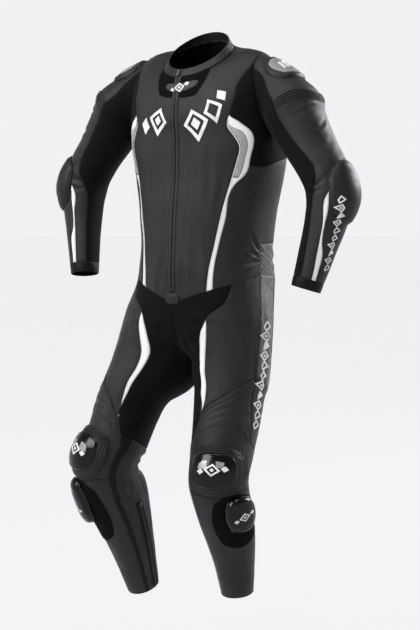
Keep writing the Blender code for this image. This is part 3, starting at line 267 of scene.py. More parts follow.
SLEEVE_ROWS = (
    Line("armhole", 0, ((0.0, 0.0), (1.0, 0.0))),
    Line("rib_top", 4, ((0.0, 1.27), (0.04, 1.24), (0.16, 1.0), (0.24, 0.92), (0.5, 0.9), (0.76, 0.92),
                        (0.84, 1.0), (0.96, 1.24), (1.0, 1.27))),
    Line("rib_foot", 8, ((0.0, 1.60), (0.14, 1.40), (0.245, 1.34), (0.5, 1.30), (0.755, 1.34),
                         (0.86, 1.40), (1.0, 1.60))),
    Line("elbow_top", 12,
         ((0.0, 3.80), (0.15, 4.2), (0.25, 4.5), (0.5, 4.5), (0.75, 4.5), (0.85, 4.2), (1.0, 3.80))),
    Line("elbow_foot", 16, ((0.0, 6.0), (0.16, 5.5), (0.5, 5.4), (0.84, 5.5), (1.0, 6.0))),
    Line("cuff", 20, ((0.0, 7.7), (1.0, 7.7))),
    Line("end", 21, ((0.0, 8.0), (1.0, 8.0))),
)

LEG_COLUMNS = (
    Line("inner_front", 0, ((0.0, -0.25), (10.0, -0.25))),
    Line("stripe_inner", 5, ((0.0, -0.09), (0.68, -0.068), (0.96, -0.085), (1.60, -0.083), (2.44, -0.077),
                             (3.24, -0.090), (4.28, -0.110), (4.6, -0.160), (5.0, -0.205), (5.6, -0.222),
                             (6.6, -0.224), (10.0, -0.224))),
    Line("stripe_outer", 6, ((0.0, -0.054), (0.68, -0.068), (0.96, -0.060), (1.60, -0.050), (2.44, -0.048),
                             (3.28, -0.056), (3.96, -0.080), (4.28, -0.110), (5.0, -0.06), (6.2, -0.07),
                             (8.0, -0.06), (10.0, -0.06))),
    Line("arm_end", 7, ((0.0, 0.02), (0.44, 0.0), (2.0, 0.0), (5.0, 0.0), (8.0, 0.0), (10.0, 0.0))),
    Line("side_front", 9, ((0.0, 0.19), (1.3, 0.19), (2.0, 0.19), (3.84, 0.17), (5.0, 0.19), (10.0, 0.19))),
    Line("side_back", 11,
         ((0.0, 0.37), (0.3, 0.355), (1.2, 0.32), (2.0, 0.32), (3.9, 0.295), (5.0, 0.31), (10.0, 0.33))),
    Line("inner_back", 15, ((0.0, 0.75), (10.0, 0.75))),
)
LEG_ROWS = (
    Line("hip", 0, ((-0.25, 0.0), (0.75, 0.0))),
    Line("arm_foot", 1,
         ((-0.25, 0.6), (-0.09, 0.72), (-0.065, 0.64), (0.0, 0.46), (0.03, 0.42), (0.2, 0.45), (0.75, 0.6))),
    Line("crotch", 3,
         ((-0.25, 2.0), (-0.07, 1.7), (0.1, 1.3), (0.2, 1.1), (0.3, 1.2), (0.5, 1.6), (0.75, 2.0))),
    Line("diagonal", 7, ((-0.25, 4.2), (-0.11, 4.28), (-0.07, 4.0), (0.03, 3.48), (0.105, 2.88), (0.155, 2.3),
                         (0.20, 2.1), (0.30, 2.4), (0.50, 3.3), (0.75, 4.2))),
    Line("knee_top", 9, ((-0.25, 4.8), (-0.15, 4.75), (0.0, 4.45), (0.2, 4.7), (0.5, 4.9), (0.75, 4.8))),
    Line("knee_foot", 13, ((-0.25, 6.2), (-0.15, 6.25), (0.0, 6.42), (0.2, 6.3), (0.5, 6.1), (0.75, 6.2))),
    Line("shin_foot", 18, ((-0.25, 9.2), (0.75, 9.2))),
    Line("hem", 19, ((-0.25, 10.0), (0.75, 10.0))),
)
SLEEVE_ROW_LEVELS = ((0, 4, 8, 12, 16, 20, 21), (0.0, 1.0, 1.4, 4.2, 5.5, 7.7, 8.0))
SLEEVE_TWIST = {
    "left": ((0.0, 0.0), (8.0, 0.0)),
    "right": ((0.0, 0.0), (3.0, 0.0), (4.0, 0.05), (5.0, 0.085), (6.0, 0.10), (8.0, 0.13)),
}
LEG_TWIST = {
    "left": ((0.0, 0.0), (10.0, 0.0)),
    "right": ((0.0, 0.0), (1.7, 0.0), (2.7, -0.033), (4.0, -0.053), (5.0, -0.02), (5.6, -0.03), (6.4, -0.08),
              (8.0, -0.06), (10.0, -0.04)),
}


def unit(vectors: Array) -> Array:
    """The vectors, each brought to length 1."""
    return vectors / np.maximum(np.linalg.norm(vectors, axis=-1, keepdims=True), 1e-12)


def eased(t: Array) -> Array:
    """0 below 0, 1 above 1 and a smooth rise between."""
    t = np.clip(t, 0.0, 1.0)
    return t * t * (3 - 2 * t)


def hermite(before: Array, start: Array, end: Array, after: Array, t: Array) -> Array:
    """The smooth curve from start to end, at part t of the way, that its two neighbours steer."""
    bend = 2 * before - 5 * start + 4 * end - after
    return start + 0.5 * t * (end - before + t * (bend + t * (3 * (start - end) + after - before)))


def spline(rows: Sequence, at: Array) -> Array:
    """Rows of a table at fractional row numbers, on a smooth curve through them."""
    table = np.asarray(rows, float)
    at = np.clip(np.asarray(at, float), 0.0, len(table) - 1.0)
    lower = np.minimum(at.astype(int), len(table) - 2)
    padded = np.concatenate([2 * table[:1] - table[1:2], table, 2 * table[-1:] - table[-2:-1]])
    return hermite(*(padded[lower + k] for k in range(4)), (at - lower)[..., None])


def column_spline(rings: Array, level: Array) -> Array:
    """The point at each level on a smooth curve through that point's place in every ring.

    Args:
        rings: the rings, the first of which lies before level 0 and only steers the curve.
        level: the level of each point, from 0.

    Returns:
        The points.
    """
    level = np.clip(level, 0.0, len(rings) - 2.0)
    lower = np.minimum(level.astype(int), len(rings) - 3)
    padded = np.concatenate([rings, 2 * rings[-1:] - rings[-2:-1]])
    near = (np.take_along_axis(padded, (lower + k)[None, ..., None], 0)[0] for k in range(4))
    return hermite(*near, (level - lower)[..., None])


def curve(stations: Sequence, at: Array) -> Array:
    """Value at each position on a smooth curve through a table's stations."""
    place, value = np.array(stations, float).T
    slope = np.gradient(value, place)
    at = np.clip(at, place[0], place[-1])
    k = np.clip(np.searchsorted(place, at) - 1, 0, len(place) - 2)
    span = (place[1:] - place[:-1])[k]
    t = (at - place[k]) / span
    rise = value[k + 1] - value[k]
    bend = (1 - t) * slope[k] - t * slope[k + 1]
    return value[k] + t * t * (3 - 2 * t) * rise + span * t * (1 - t) * bend


def between(lines: Sequence[Line], values: Array, index: Array) -> Array:
    """Value at a fractional grid index, where values holds the value of each line there."""
    places = np.array([line.index for line in lines], float)
    k = np.clip(np.searchsorted(places, index, side="right") - 1, 0, len(lines) - 2)
    part = (index - places[k]) / (places[k + 1] - places[k])
    low = np.take_along_axis(values, k[None], 0)[0]
    high = np.take_along_axis(values, k[None] + 1, 0)[0]
    return low + (high - low) * part


def close_tip(lines: Array, first: int) -> None:
    """Brings a stripe's two edges together where they nearly meet."""
    middle = (lines[first] + lines[first + 1]) / 2
    closed = lines[first + 1] - lines[first] < TIP_WIDTH
    lines[first] = np.where(closed, middle, lines[first])
    lines[first + 1] = np.where(closed, middle, lines[first + 1])


def settled(turn_at: Callable, level_at: Callable, row: Array, column: Array,
            first: float = FIRST_TURN) -> tuple[Array, Array]:
    """Turn and level where a grid's row and column cross.

    Args:
        turn_at: gives the turn of a column at a level.
        level_at: gives the level of a row at a turn.
        row: row of each point, which may be fractional.
        column: column of each point.
        first: the turn from which the search starts.

    Returns:
        The turns and the levels.
    """
    row, column = np.broadcast_arrays(np.asarray(row, float), np.asarray(column, float))
    turn = np.full(row.shape, first)
    for _ in range(CROSSING_PASSES):
        level = level_at(row, turn)
        turn = turn_at(column, level)
    return turn, level


def limb_ring(rings: Sequence[LimbRing], row: int, turn: Array, start: Array) -> Array:
    """Points of one limb section, with turn 0 at its front and 0.25 at its outer side.

    Args:
        rings: the limb's sections.
        row: which of them.
        turn: the turn of each point.
        start: where the limb's centre line starts.

    Returns:
        The points.
    """
    centres = np.array([start] + [(ring.out, ring.y, ring.height) for ring in rings])
    run = np.gradient(centres, axis=0)[row + 1]
    ring = rings[row]
    heading = math.radians(ring.heading)
    outward = np.array([math.cos(heading), math.sin(heading), 0.0])
    side = unit(outward - run * np.dot(outward, run) / np.dot(run, run))
    front = unit(np.cross(side, run))
    front = front if front[1] < 0 else -front
    angle = np.asarray(turn, float)[..., None] * 2 * math.pi
    depth = np.where(np.cos(angle) > 0, ring.front, ring.back)
    return centres[row + 1] + side * ring.across * np.sin(angle) + front * depth * np.cos(angle)


@dataclass(frozen=True)
class Net:
    """A grid laid on a form: its points, the vector out of the cloth at each, and where each stands."""

    points: Array
    out: Array
    rows: Array
    columns: Array
    flips: Array  # -1 for a point that is mirrored to the wearer's right, else 1


class Form:
    """A tube of cloth on the +X side, whose points are given by a turn about it and a level along it."""

    name = ""
    turns = (-FREE, FREE)
    turned = 1.0  # -1 where turns run the other way about the tube

    def point(self, turn: Array, level: Array) -> Array:
        """Points of the cloth's outer side."""
        raise NotImplementedError

    def place(self, row: Array, column: Array) -> tuple[Array, Array]:
        """Turn and level of the grid's points."""
        return settled(self.turn_at, self.level_at, row, column)

    def turn_at(self, column: Array, level: Array) -> Array:
        """Turn of a column at a level."""
        raise NotImplementedError

    def level_at(self, row: Array, turn: Array) -> Array:
        """Level of a row at a turn."""
        raise NotImplementedError

    def face(self, turn: Array, level: Array, reach: float = LEVEL_STEP) -> Array:
        """Unit vectors out of the cloth. Reach is the step in level over which its slope is taken."""
        before, after = (np.clip(turn + step, *self.turns) for step in (-TURN_STEP, TURN_STEP))
        along = self.point(after, level) - self.point(before, level)
        down = self.point(turn, level + reach) - self.point(turn, np.maximum(level - reach, 0.0))
        return unit(np.cross(down, along)) * self.turned

    def net(self, rows: Array, columns: Array) -> Net:
        """The grid at these rows and columns."""
        raise NotImplementedError


class TorsoForm(Form):
    """The body tube. Turn 0 is the middle of the front, 0.25 the wearer's left; level 0 is the neck seam."""

    name = "torso"
    armhole_middle = (ARMHOLE_TOP + ARMHOLE_FOOT) / 2
    armhole_half = (ARMHOLE_FOOT - ARMHOLE_TOP) / 2

    def ring(self, level: Array) -> BodyRing:
        """The section at each level."""
        return BodyRing(*np.moveaxis(spline(BODY, level), -1, 0))

    def point(self, turn: Array, level: Array) -> Array:
        """Points of the body's outer side."""
        turn, level = np.broadcast_arrays(np.asarray(turn, float), np.asarray(level, float))
        ring = self.ring(level)
        sine = np.sin(2 * math.pi * turn)
        cosine = np.cos(2 * math.pi * turn)
        reach = (np.abs(sine) ** ring.square + np.abs(cosine) ** ring.square) ** (-1 / ring.square)
        x = ring.half_width * reach * sine
        y = ring.centre_y - np.where(cosine > 0, ring.front, ring.back) * reach * cosine
        z = ring.height + ring.tilt * (y - ring.centre_y) + ring.lift * sine**2
        return np.stack([x, y, z], -1)

    def hip_level(self, turn: Array) -> Array:
        """Level of the hip seam, lowest at the middle of the front."""
        turn = np.abs(np.asarray(turn, float))
        front = HIP_FRONT + (HIP_SIDE - HIP_FRONT) * np.sin(np.clip(turn / SIDE, 0, 1) * math.pi / 2)
        rear = HIP_SIDE + (HIP_BACK - HIP_SIDE) * np.clip((turn - SIDE) / SIDE, 0, 1)
        return np.where(turn < SIDE, front, rear)

    def armhole(self, turn: Array, reach: float = 1.0) -> Array:
        """Points of the armhole's edge. Turn 0 is its top and 0.25 its front; reach widens it."""
        sine = np.sin(2 * math.pi * np.asarray(turn, float))
        cosine = np.cos(2 * math.pi * np.asarray(turn, float))
        around = SIDE - reach * np.where(sine > 0, ARMHOLE_FRONT, ARMHOLE_BACK) * sine
        return self.point(around, self.armhole_middle - reach * self.armhole_half * cosine)

    def turn_at(self, column: Array, level: Array) -> Array:
        """Turn of a column at a level. Columns give way to the armhole, whose edges are two of them."""
        lines = np.stack([curve(line.stations, level) for line in BODY_COLUMNS])
        bulge = np.sqrt(np.clip(1 - ((level - self.armhole_middle) / self.armhole_half) ** 2, 0, 1))
        zip_end = np.clip((ZIP_FOOT - level) / ZIP_CLOSE + 1, 0, 1)
        lines[0] = zip_end * ZIP_HALF / (2 * math.pi * self.ring(level).half_width)
        lines[4] -= ARMHOLE_FRONT * bulge
        lines[5] += ARMHOLE_BACK * bulge
        lines[:4] = np.minimum(lines[:4], lines[4])
        lines[6:] = np.maximum(lines[6:], lines[5])
        close_tip(lines, 2)
        return between(BODY_COLUMNS, np.maximum.accumulate(lines, 0), column)

    def level_at(self, row: Array, turn: Array) -> Array:
        """Level of a row at a turn."""
        lines = np.stack([curve(line.stations, turn) for line in BODY_ROWS])
        lines[-1] = self.hip_level(turn)
        level = between(BODY_ROWS, lines, row)
        top, foot = (BODY_ROWS[k].index for k in (2, 3))
        step = np.interp(row - top, np.arange(len(ARMHOLE_STEPS)), ARMHOLE_STEPS)
        around = self.armhole_middle - self.armhole_half * np.cos(2 * math.pi * step)
        return np.where((row >= top) & (row <= foot), around, level)

    def net(self, rows: Array, columns: Array) -> Net:
        """The grid. At the armhole and at the neck its outward vectors stand between the pieces that meet."""
        rows, columns = np.meshgrid(rows, columns, indexing="ij")
        turn, level = self.place(rows, columns)
        out = self.face(turn, level)
        edge = np.isin(columns, [BODY_COLUMNS[4].index, BODY_COLUMNS[5].index])
        edge &= (level >= ARMHOLE_TOP - 1e-6) & (level <= ARMHOLE_FOOT + 1e-6)
        step = np.interp(rows - BODY_ROWS[2].index, np.arange(len(ARMHOLE_STEPS)), ARMHOLE_STEPS)
        ahead = columns == BODY_COLUMNS[4].index
        sleeve = SleeveForm(Side.LEFT, self).face(np.where(ahead, step, 1 - step), 0 * step, ARMHOLE_STEP)
        out = np.where(edge[..., None], unit(out + sleeve), out)
        out = np.where((rows == 0)[..., None], CollarForm(self).face(turn, 0 * turn), out)
        return Net(self.point(turn, level), out, rows, columns, np.ones(rows.shape))


class BackForm(TorsoForm):
    """The back of the body tube, from the side seam across the middle to the other side seam."""

    first = BODY_COLUMNS[5].index
    middle = BODY_COLUMNS[-1].index - BODY_COLUMNS[5].index

    def net(self, rows: Array, columns: Array) -> Net:
        """The grid, whose columns past the middle are the left half's, mirrored."""
        left = super().net(rows, self.first + self.middle - np.abs(np.asarray(columns) - self.middle))
        columns = np.broadcast_to(columns, left.rows.shape)
        return replace(left, columns=columns, flips=np.where(columns > self.middle, -1.0, 1.0))


class CollarForm(Form):
    """The collar. Its level is 0 at the neck seam and 1 at its rim."""

    name = "collar"

    def __init__(self, torso: TorsoForm) -> None:
        """Sets the collar on a body."""
        self.torso = torso

    def point(self, turn: Array, level: Array) -> Array:
        """Points of the collar's outer side."""
        turn = np.asarray(turn, float)
        y = COLLAR_Y - COLLAR_RADIUS * np.cos(2 * math.pi * turn)
        x = COLLAR_RADIUS * np.sin(2 * math.pi * turn)
        rim = np.stack([x, y, COLLAR_HEIGHT + COLLAR_SLOPE * (y - COLLAR_Y)], -1)
        height = np.asarray(level, float)[..., None]
        return self.torso.point(turn, 0.0 * turn) * (1 - height) + rim * height

    def face(self, turn: Array, level: Array, reach: float = LEVEL_STEP) -> Array:
        """Unit vectors out of the collar, turned towards those of the body at the neck seam."""
        upright = np.stack([np.sin(2 * math.pi * turn), -np.cos(2 * math.pi * turn), 0 * turn], -1)
        seam = unit(upright + self.torso.face(turn, 0 * turn))
        return unit(seam + (upright - seam) * np.clip(level / COLLAR_RUN_IN, 0, 1)[..., None])


class SleeveForm(Form):
    """A sleeve. Turn 0 is its outer side and 0.25 its front; level 0 is the armhole."""

    name = "sleeve"
    turned = -1.0

    def __init__(self, side: Side, torso: TorsoForm) -> None:
        """Sets the sleeve on a body's armhole."""
        self.side = side
        self.torso = torso
        self.twist = SLEEVE_TWIST[side.value]

    def point(self, turn: Array, level: Array) -> Array:
        """Points of the sleeve's outer side."""
        turn, level = np.broadcast_arrays(np.asarray(turn, float), np.asarray(level, float))
        start = self.torso.armhole(np.arange(8) / 8).mean(axis=0)
        rings = [self.torso.armhole(turn, ARMHOLE_RUN_IN), self.torso.armhole(turn)]
        rings += [limb_ring(SLEEVE, row, 0.25 - turn, start) for row in range(len(SLEEVE))]
        return column_spline(np.stack(rings), level)

    def turn_at(self, column: Array, level: Array) -> Array:
        """Turn of a column at a level. Columns leave the armhole at the body's own vertices."""
        steps = list(ARMHOLE_STEPS) + [1 - step for step in ARMHOLE_STEPS[-2::-1]]
        start = np.interp(column, np.arange(len(steps)), steps)
        lines = np.stack([curve(line.stations, level) for line in SLEEVE_COLUMNS])
        close_tip(lines, 1)
        spread = eased(level / SLEEVE_SPREAD)
        return start + (between(SLEEVE_COLUMNS, lines, column) - start) * spread + curve(self.twist, level)

    def level_at(self, row: Array, turn: Array) -> Array:
        """Level of a row at a turn."""
        nominal = np.interp(row, *SLEEVE_ROW_LEVELS)
        around = np.mod(turn - curve(self.twist, nominal), 1.0)
        lines = np.stack([curve(line.stations, around) for line in SLEEVE_ROWS])
        return between(SLEEVE_ROWS, lines, row)

    def net(self, rows: Array, columns: Array) -> Net:
        """The grid. At the armhole its outward vectors stand between the sleeve's and the body's."""
        rows, columns = np.meshgrid(rows, columns, indexing="ij")
        turn, level = self.place(rows, columns)
        sine, cosine = np.sin(2 * math.pi * turn), np.cos(2 * math.pi * turn)
        around = SIDE - np.where(sine > 0, ARMHOLE_FRONT, ARMHOLE_BACK) * sine
        body = self.torso.face(around, self.torso.armhole_middle - self.torso.armhole_half * cosine)
        shared = unit(self.face(turn, level, ARMHOLE_STEP) + body)
        out = np.where((rows == 0)[..., None], shared, self.face(turn, level))
        return Net(self.point(turn, level), out, rows, columns, np.ones(rows.shape))


class LegForm(Form):
    """A leg. Turn 0 is its front, 0.25 its outer side, and -0.25 and 0.75 the inner line, open above the
    crotch. Level 0 is the hip seam, 1 the seat and 2 the crotch."""

    name = "leg"
    turns = (INNER_FRONT, INNER_BACK)

    def __init__(self, side: Side, torso: TorsoForm) -> None:
        """Hangs the leg from a body's hip seam."""
        self.side = side
        self.torso = torso
        self.rings = LEG_LEFT if side is Side.LEFT else LEG_RIGHT
        self.twist = LEG_TWIST[side.value]

    def point(self, turn: Array, level: Array) -> Array:
        """Points of the leg's outer side."""
        turn, level = np.broadcast_arrays(np.asarray(turn, float), np.asarray(level, float))
        start = np.array([HIP_JOINT_OUT, 0.0, HIP_JOINT_HEIGHT])
        sections = [limb_ring(self.rings, row, turn, start) for row in range(len(self.rings))]
        innermost = limb_ring(self.rings, 0, INNER_FRONT, start)
        inward = ((1 - np.sin(2 * math.pi * turn)) / 2)[..., None] ** 3
        sections[0] = sections[0] + (np.array(CROTCH) - innermost) * inward
        above, top, seat = self.hip_rings(turn, sections[0], inward)
        opposite = self.hip_rings(0.5 - turn, sections[0], inward)[2]
        below = (level > CROTCH_LEVEL)[..., None]
        seat = np.where(below, seat + (opposite - seat) * inward / 2, seat)
        return column_spline(np.stack([above, top, seat] + sections), level)

    def hip_rings(self, turn: Array, section: Array, inward: Array) -> tuple[Array, Array, Array]:
        """The rings at and about the hip seam that lead to the leg's first section."""
        around = np.clip((turn + 0.25) / 2, 0.0, 0.5)
        seam = self.torso.hip_level(around)
        above = self.torso.point(around, seam - HIP_RUN_IN)
        top = self.torso.point(around, seam)
        fore = np.where(turn < 0.25, -SEAT_FRONT, SEAT_BACK)
        fullness = np.stack([0 * turn, fore, 0 * turn - SEAT_DROP], -1) * inward
        fullness[..., 0] += HIP_FULLNESS * (1 + np.sin(2 * math.pi * turn)) / 2
        return above, top, (top + section) / 2 + fullness

    def place(self, row: Array, column: Array) -> tuple[Array, Array]:
        """Turn and level of the grid's points. Columns leave the hip seam at the body's own vertices."""
        row, column = np.broadcast_arrays(np.asarray(row, float), np.asarray(column, float))
        body_column = np.where(column <= BODY_COLUMNS[4].index, column, column + 1)
        start = 2 * self.torso.place(BODY_ROWS[-1].index, body_column)[0] - 0.25

        def turn_at(column: Array, level: Array) -> Array:
            """Turn of a column at a level."""
            lines = np.stack([curve(line.stations, level) for line in LEG_COLUMNS])
            close_tip(lines, 1)
            turn = between(LEG_COLUMNS, lines, column)
            inner = (1 + np.cos(2 * math.pi * (turn - 0.25))) / 2
            shift = curve(self.twist, level) * np.clip(INNER_HOLD * inner, 0, 1)
            return start + (turn + shift - start) * eased(level / LEG_SPREAD)

        def level_at(row: Array, turn: Array) -> Array:
            """Level of a row at a turn."""
            return between(LEG_ROWS, np.stack([curve(line.stations, turn) for line in LEG_ROWS]), row)

        return settled(turn_at, level_at, row, column, 0.0)

    def net(self, rows: Array, columns: Array) -> Net:
        """The grid. Above the crotch its inner line and the line's outward vectors lie in the middle plane."""
        rows, columns = np.meshgrid(rows, columns, indexing="ij")
        turn, level = self.place(rows, columns)
        points = self.point(turn, level)
        around = (turn + 0.25) / 2
        hip = self.torso.face(around, self.torso.hip_level(around))
        out = np.where((rows == 0)[..., None], hip, self.face(turn, level))
        inner = (columns == 0) | (columns == LEG_COLUMNS[-1].index)
        upper = level <= CROTCH_LEVEL + 1e-6
        shared = sum(self.face(end + 0 * turn, level) for end in self.turns)
        out = np.where((inner & (level >= CROTCH_LEVEL - 1e-6))[..., None], shared, out)
        out[..., 0] = np.where(inner & upper, 0.0, out[..., 0])
        middle = np.where(inner, 0.0, np.maximum(points[..., 0], 0.0))
        points[..., 0] = np.where(upper, middle, points[..., 0])
        return Net(points, unit(out), rows, columns, np.ones(rows.shape))


def linear(code: str) -> tuple[float, float, float, float]:
    """An sRGB hex colour as linear red, green and blue, with alpha 1."""
    parts = [int(code[k : k + 2], 16) / 255 for k in (1, 3, 5)]
    red, green, blue = (p / 12.92 if p <= 0.04045 else ((p + 0.055) / 1.055) ** 2.4 for p in parts)
    return (red, green, blue, 1.0)


def add_node(
    tree: Tree, kind: str, settings: Optional[dict] = None, links: Optional[dict] = None
) -> bpy.types.Node:
    """Adds one node to a material.

    Args:
        tree: the material's nodes.
        kind: the node's type, without its first words "ShaderNode".
        settings: its properties by name, and the values of its inputs by name or number.
        links: the sockets that feed its inputs, by the input's name or number.

    Returns:
        The node.
    """
    node = tree.nodes.new("ShaderNode" + kind)
    for name, value in (settings or {}).items():
        if isinstance(name, str) and hasattr(node, name):
            setattr(node, name, value)
        else:
            node.inputs[name].default_value = value
    for name, source in (links or {}).items():
        tree.links.new(source, node.inputs[name])
    return node


def mixed(tree: Tree, part: Socket, low: object, high: object) -> Socket:
    """A colour that goes from low to high, each a colour or a socket, as part goes from 0 to 1."""
    settings, links = {"data_type": "RGBA"}, {0: part}
    for number, end in ((6, low), (7, high)):
        (links if isinstance(end, Socket) else settings)[number] = end
    return add_node(tree, "Mix", settings, links).outputs[2]


def object_place(tree: Tree) -> Socket:
    """Places in the object's own metres."""
    return add_node(tree, "TexCoord").outputs["Object"]


def cloth_place(tree: Tree) -> Socket:
    """Places on the cloth's own UV map, in metres."""
    return add_node(tree, "UVMap", {"uv_map": "cloth"}).outputs["UV"]


def turned(tree: Tree, place: Socket, degrees: float) -> Socket:
    """Places turned on the cloth."""
    return add_node(tree, "Mapping", {"Rotation": (0, 0, math.radians(degrees))},
                    {"Vector": place}).outputs[0]


def stretched(tree: Tree, place: Socket, scale: tuple[float, float, float]) -> Socket:
    """Places scaled along each axis."""
    return add_node(tree, "Mapping", {"Scale": scale}, {"Vector": place}).outputs[0]


def waves(tree: Tree, place: Socket, scale: float, distortion: float = 0.0) -> Socket:
    """Parallel waves from 0 to 1."""
    return add_node(tree, "TexWave", {"Scale": scale, "Distortion": distortion},
                    {"Vector": place}).outputs["Fac"]


def soft(tree: Tree, place: Socket, scale: float, detail: float) -> Socket:
    """Soft noise, about 0.5."""
    return add_node(tree, "TexNoise", {"Scale": scale, "Detail": detail}, {"Vector": place}).outputs["Fac"]


def ranged(tree: Tree, value: Socket, low: float, high: float,
           start: float = 0.0, end: float = 1.0) -> Socket:
    """The value's place between low and high, brought to between start and end."""
    settings = {"From Min": low, "From Max": high, "To Min": start, "To Max": end}
    return add_node(tree, "MapRange", settings, {"Value": value}).outputs["Result"]


def sum_of(tree: Tree, first: Socket, second: Socket,
           share: float) -> Socket:
    """The first value and a share of the second."""
    settings = {"operation": "MULTIPLY_ADD", 1: share}
    return add_node(tree, "Math", settings, {0: second, 2: first}).outputs[0]


@dataclass(frozen=True)
class Finish:
    """A material: its name, its colour and how it shines. Sizes are in millimetres."""

    name: str
    colour: str
    roughness: float
    metallic: float = 0.0
    specular: float = 0.5
    coat: float = 0.0
    sheen: float = 0.0
    glow: str = "#000000"

    def material(self) -> bpy.types.Material:
        """The material, made once."""
        made = bpy.data.materials.get(self.name)
        if made is not None:
            return made
        made = bpy.data.materials.new(self.name)
        made.use_nodes = True
        tree = made.node_tree
        shader = tree.nodes["Principled BSDF"]
        for socket, value in (("Metallic", self.metallic), ("Specular IOR Level", self.specular),
                              ("Coat Weight", self.coat), ("Coat Roughness", COAT_ROUGHNESS),
                              ("Sheen Weight", self.sheen), ("Sheen Roughness", SHEEN_ROUGHNESS)):
            shader.inputs[socket].default_value = value
        shader.inputs["Emission Color"].default_value = linear(self.glow)
        shader.inputs["Emission Strength"].default_value = 0.0 if self.glow == "#000000" else 1.0
        colour, roughness, height, depth = self.surface(tree)
        tree.links.new(colour, shader.inputs["Base Color"])
        tree.links.new(roughness, shader.inputs["Roughness"])
        bump = add_node(tree, "Bump", {"Distance": depth / 1000}, {"Height": height})
        tree.links.new(bump.outputs["Normal"], shader.inputs["Normal"])
        made.diffuse_color = linear(self.colour)
        return made

    def surface(self, tree: Tree) -> tuple:
        """The sockets of its colour, roughness and height, and the height's depth in millimetres."""
        raise NotImplementedError

    def noise(self, tree: Tree, size: float, detail: float = 3.0) -> Socket:
        """Soft noise, about 0.5, with patches of this size."""
        return soft(tree, object_place(tree), 1000 / size, detail)

    def rough(self, tree: Tree, part: Socket, less: float, more: float) -> Socket:
        """The finish's own roughness, less and more by these as a soft noise rises."""
        return ranged(tree, part, 0.3, 0.7, self.roughness - less, self.roughness + more)

    def shades(self, tree: Tree, part: Socket, spread: float) -> Socket:
        """The finish's own colour, darker and lighter by this share as part goes from 0 to 1."""
        red, green, blue, _ = linear(self.colour)
        low, high = ([c * (1 + k * spread) for c in (red, green, blue)] + [1.0] for k in (-1, 1))
        return mixed(tree, part, low, high)


@dataclass(frozen=True)
class Leather(Finish):
    """Cowhide: pebbled grain with fine creases between the pebbles, painted darker, cloudy colour, and seams
    that have paler, rubbed edges and, along the seam itself, a painted dark line that is partly dirt and
    partly painted shade in the seam's hollow. Real grain is 0.5 to 1 mm across; it is drawn a little coarser
    to show."""

    grain: float = 1.5
    depth: float = 0.16
    cloud: float = 45.0
    spread: float = 0.16
    # Colour painted into the grain's creases, and of the dark line along a seam, which is partly dirt and
    # partly painted shade.
    seam: str = "#0a0a0b"
    rubbed: str = "#5c5c5e"

    def surface(self, tree: Tree) -> tuple:
        """Grain by cells, with its creases painted darker, clouds by noise, and the seam by its distance:
        rubbed paler a little way off it, and on it a dark line that is partly dirt and partly painted shade.
        """
        place = object_place(tree)
        warp = add_node(tree, "TexNoise", {"Scale": 420.0, "Detail": 2.0}, {"Vector": place}).outputs["Color"]
        shifted = add_node(tree, "VectorMath", {"operation": "MULTIPLY_ADD", 1: (0.0012,) * 3},
                           {0: warp, 2: place})
        settings = {"feature": "DISTANCE_TO_EDGE", "Scale": 1000 / self.grain}
        cells = add_node(tree, "TexVoronoi", settings, {"Vector": shifted.outputs[0]}).outputs["Distance"]
        pebbles = ranged(tree, cells, 0.0, 0.28)
        fine = self.noise(tree, 6.0, 4.0)
        height = sum_of(tree, pebbles, fine, 0.8)
        colour = self.shades(tree, ranged(tree, self.noise(tree, self.cloud), 0.32, 0.68), self.spread)
        # The creases between the pebbles are painted darker.
        colour = mixed(tree, ranged(tree, pebbles, 0.0, 0.5, 0.35, 0.0), colour, linear(self.seam))
        distance = add_node(tree, "Attribute", {"attribute_name": "seam"}).outputs["Fac"]
        worn = ranged(tree, distance, 0.0022, 0.0046, 1.0, 0.0)
        patches = ranged(tree, self.noise(tree, 14.0), 0.42, 0.7, 0.0, 0.55)
        patchy = add_node(tree, "Math", {"operation": "MULTIPLY"}, {0: worn, 1: patches})
        colour = mixed(tree, patchy.outputs[0], colour, linear(self.rubbed))
        # A dark line within 1.4 mm of the seam: partly dirt, partly painted shade in the seam's hollow.
        colour = mixed(tree, ranged(tree, distance, 0.0003, 0.0014, 0.8, 0.0), colour, linear(self.seam))
        roughness = self.rough(tree, self.noise(tree, 22.0), 0.07, 0.09)
        return colour, roughness, height, self.depth


@dataclass(frozen=True)
class PerforatedLeather(Leather):
    """Leather with rows of punched holes. They are 1 mm wide and 3 mm apart, and are drawn wider to show."""

    pitch: float = 4.2
    hole: float = 0.21  # radius of a hole, in pitches

    def surface(self, tree: Tree) -> tuple:
        """Leather's own surface, sunk and dark at the holes."""
        colour, roughness, height, depth = super().surface(tree)
        holes = punched(tree, self.pitch, self.hole)
        colour = mixed(tree, holes, colour, linear("#050505"))
        height = sum_of(tree, height, holes, -6.0)
        return colour, roughness, height, depth


def punched(tree: Tree, pitch: float, radius: float) -> Socket:
    """1 inside holes laid on the cloth's own UV map, every second row shifted by half, and 0 outside them."""
    place = cloth_place(tree)
    settings = {"Rotation": (0, 0, math.radians(45)), "Scale": (1000 / pitch, 1000 / pitch, 1)}
    rows = add_node(tree, "Mapping", settings, {"Vector": place}).outputs["Vector"]
    cell = add_node(tree, "VectorMath", {"operation": "FRACTION"}, {0: rows}).outputs[0]
    centred = add_node(tree, "VectorMath", {"operation": "SUBTRACT", 1: (0.5, 0.5, 0.0)},
                       {0: cell}).outputs[0]
    reach = add_node(tree, "VectorMath", {"operation": "LENGTH"}, {0: centred}).outputs["Value"]
    return ranged(tree, reach, radius, radius + 0.08, 1.0, 0.0)


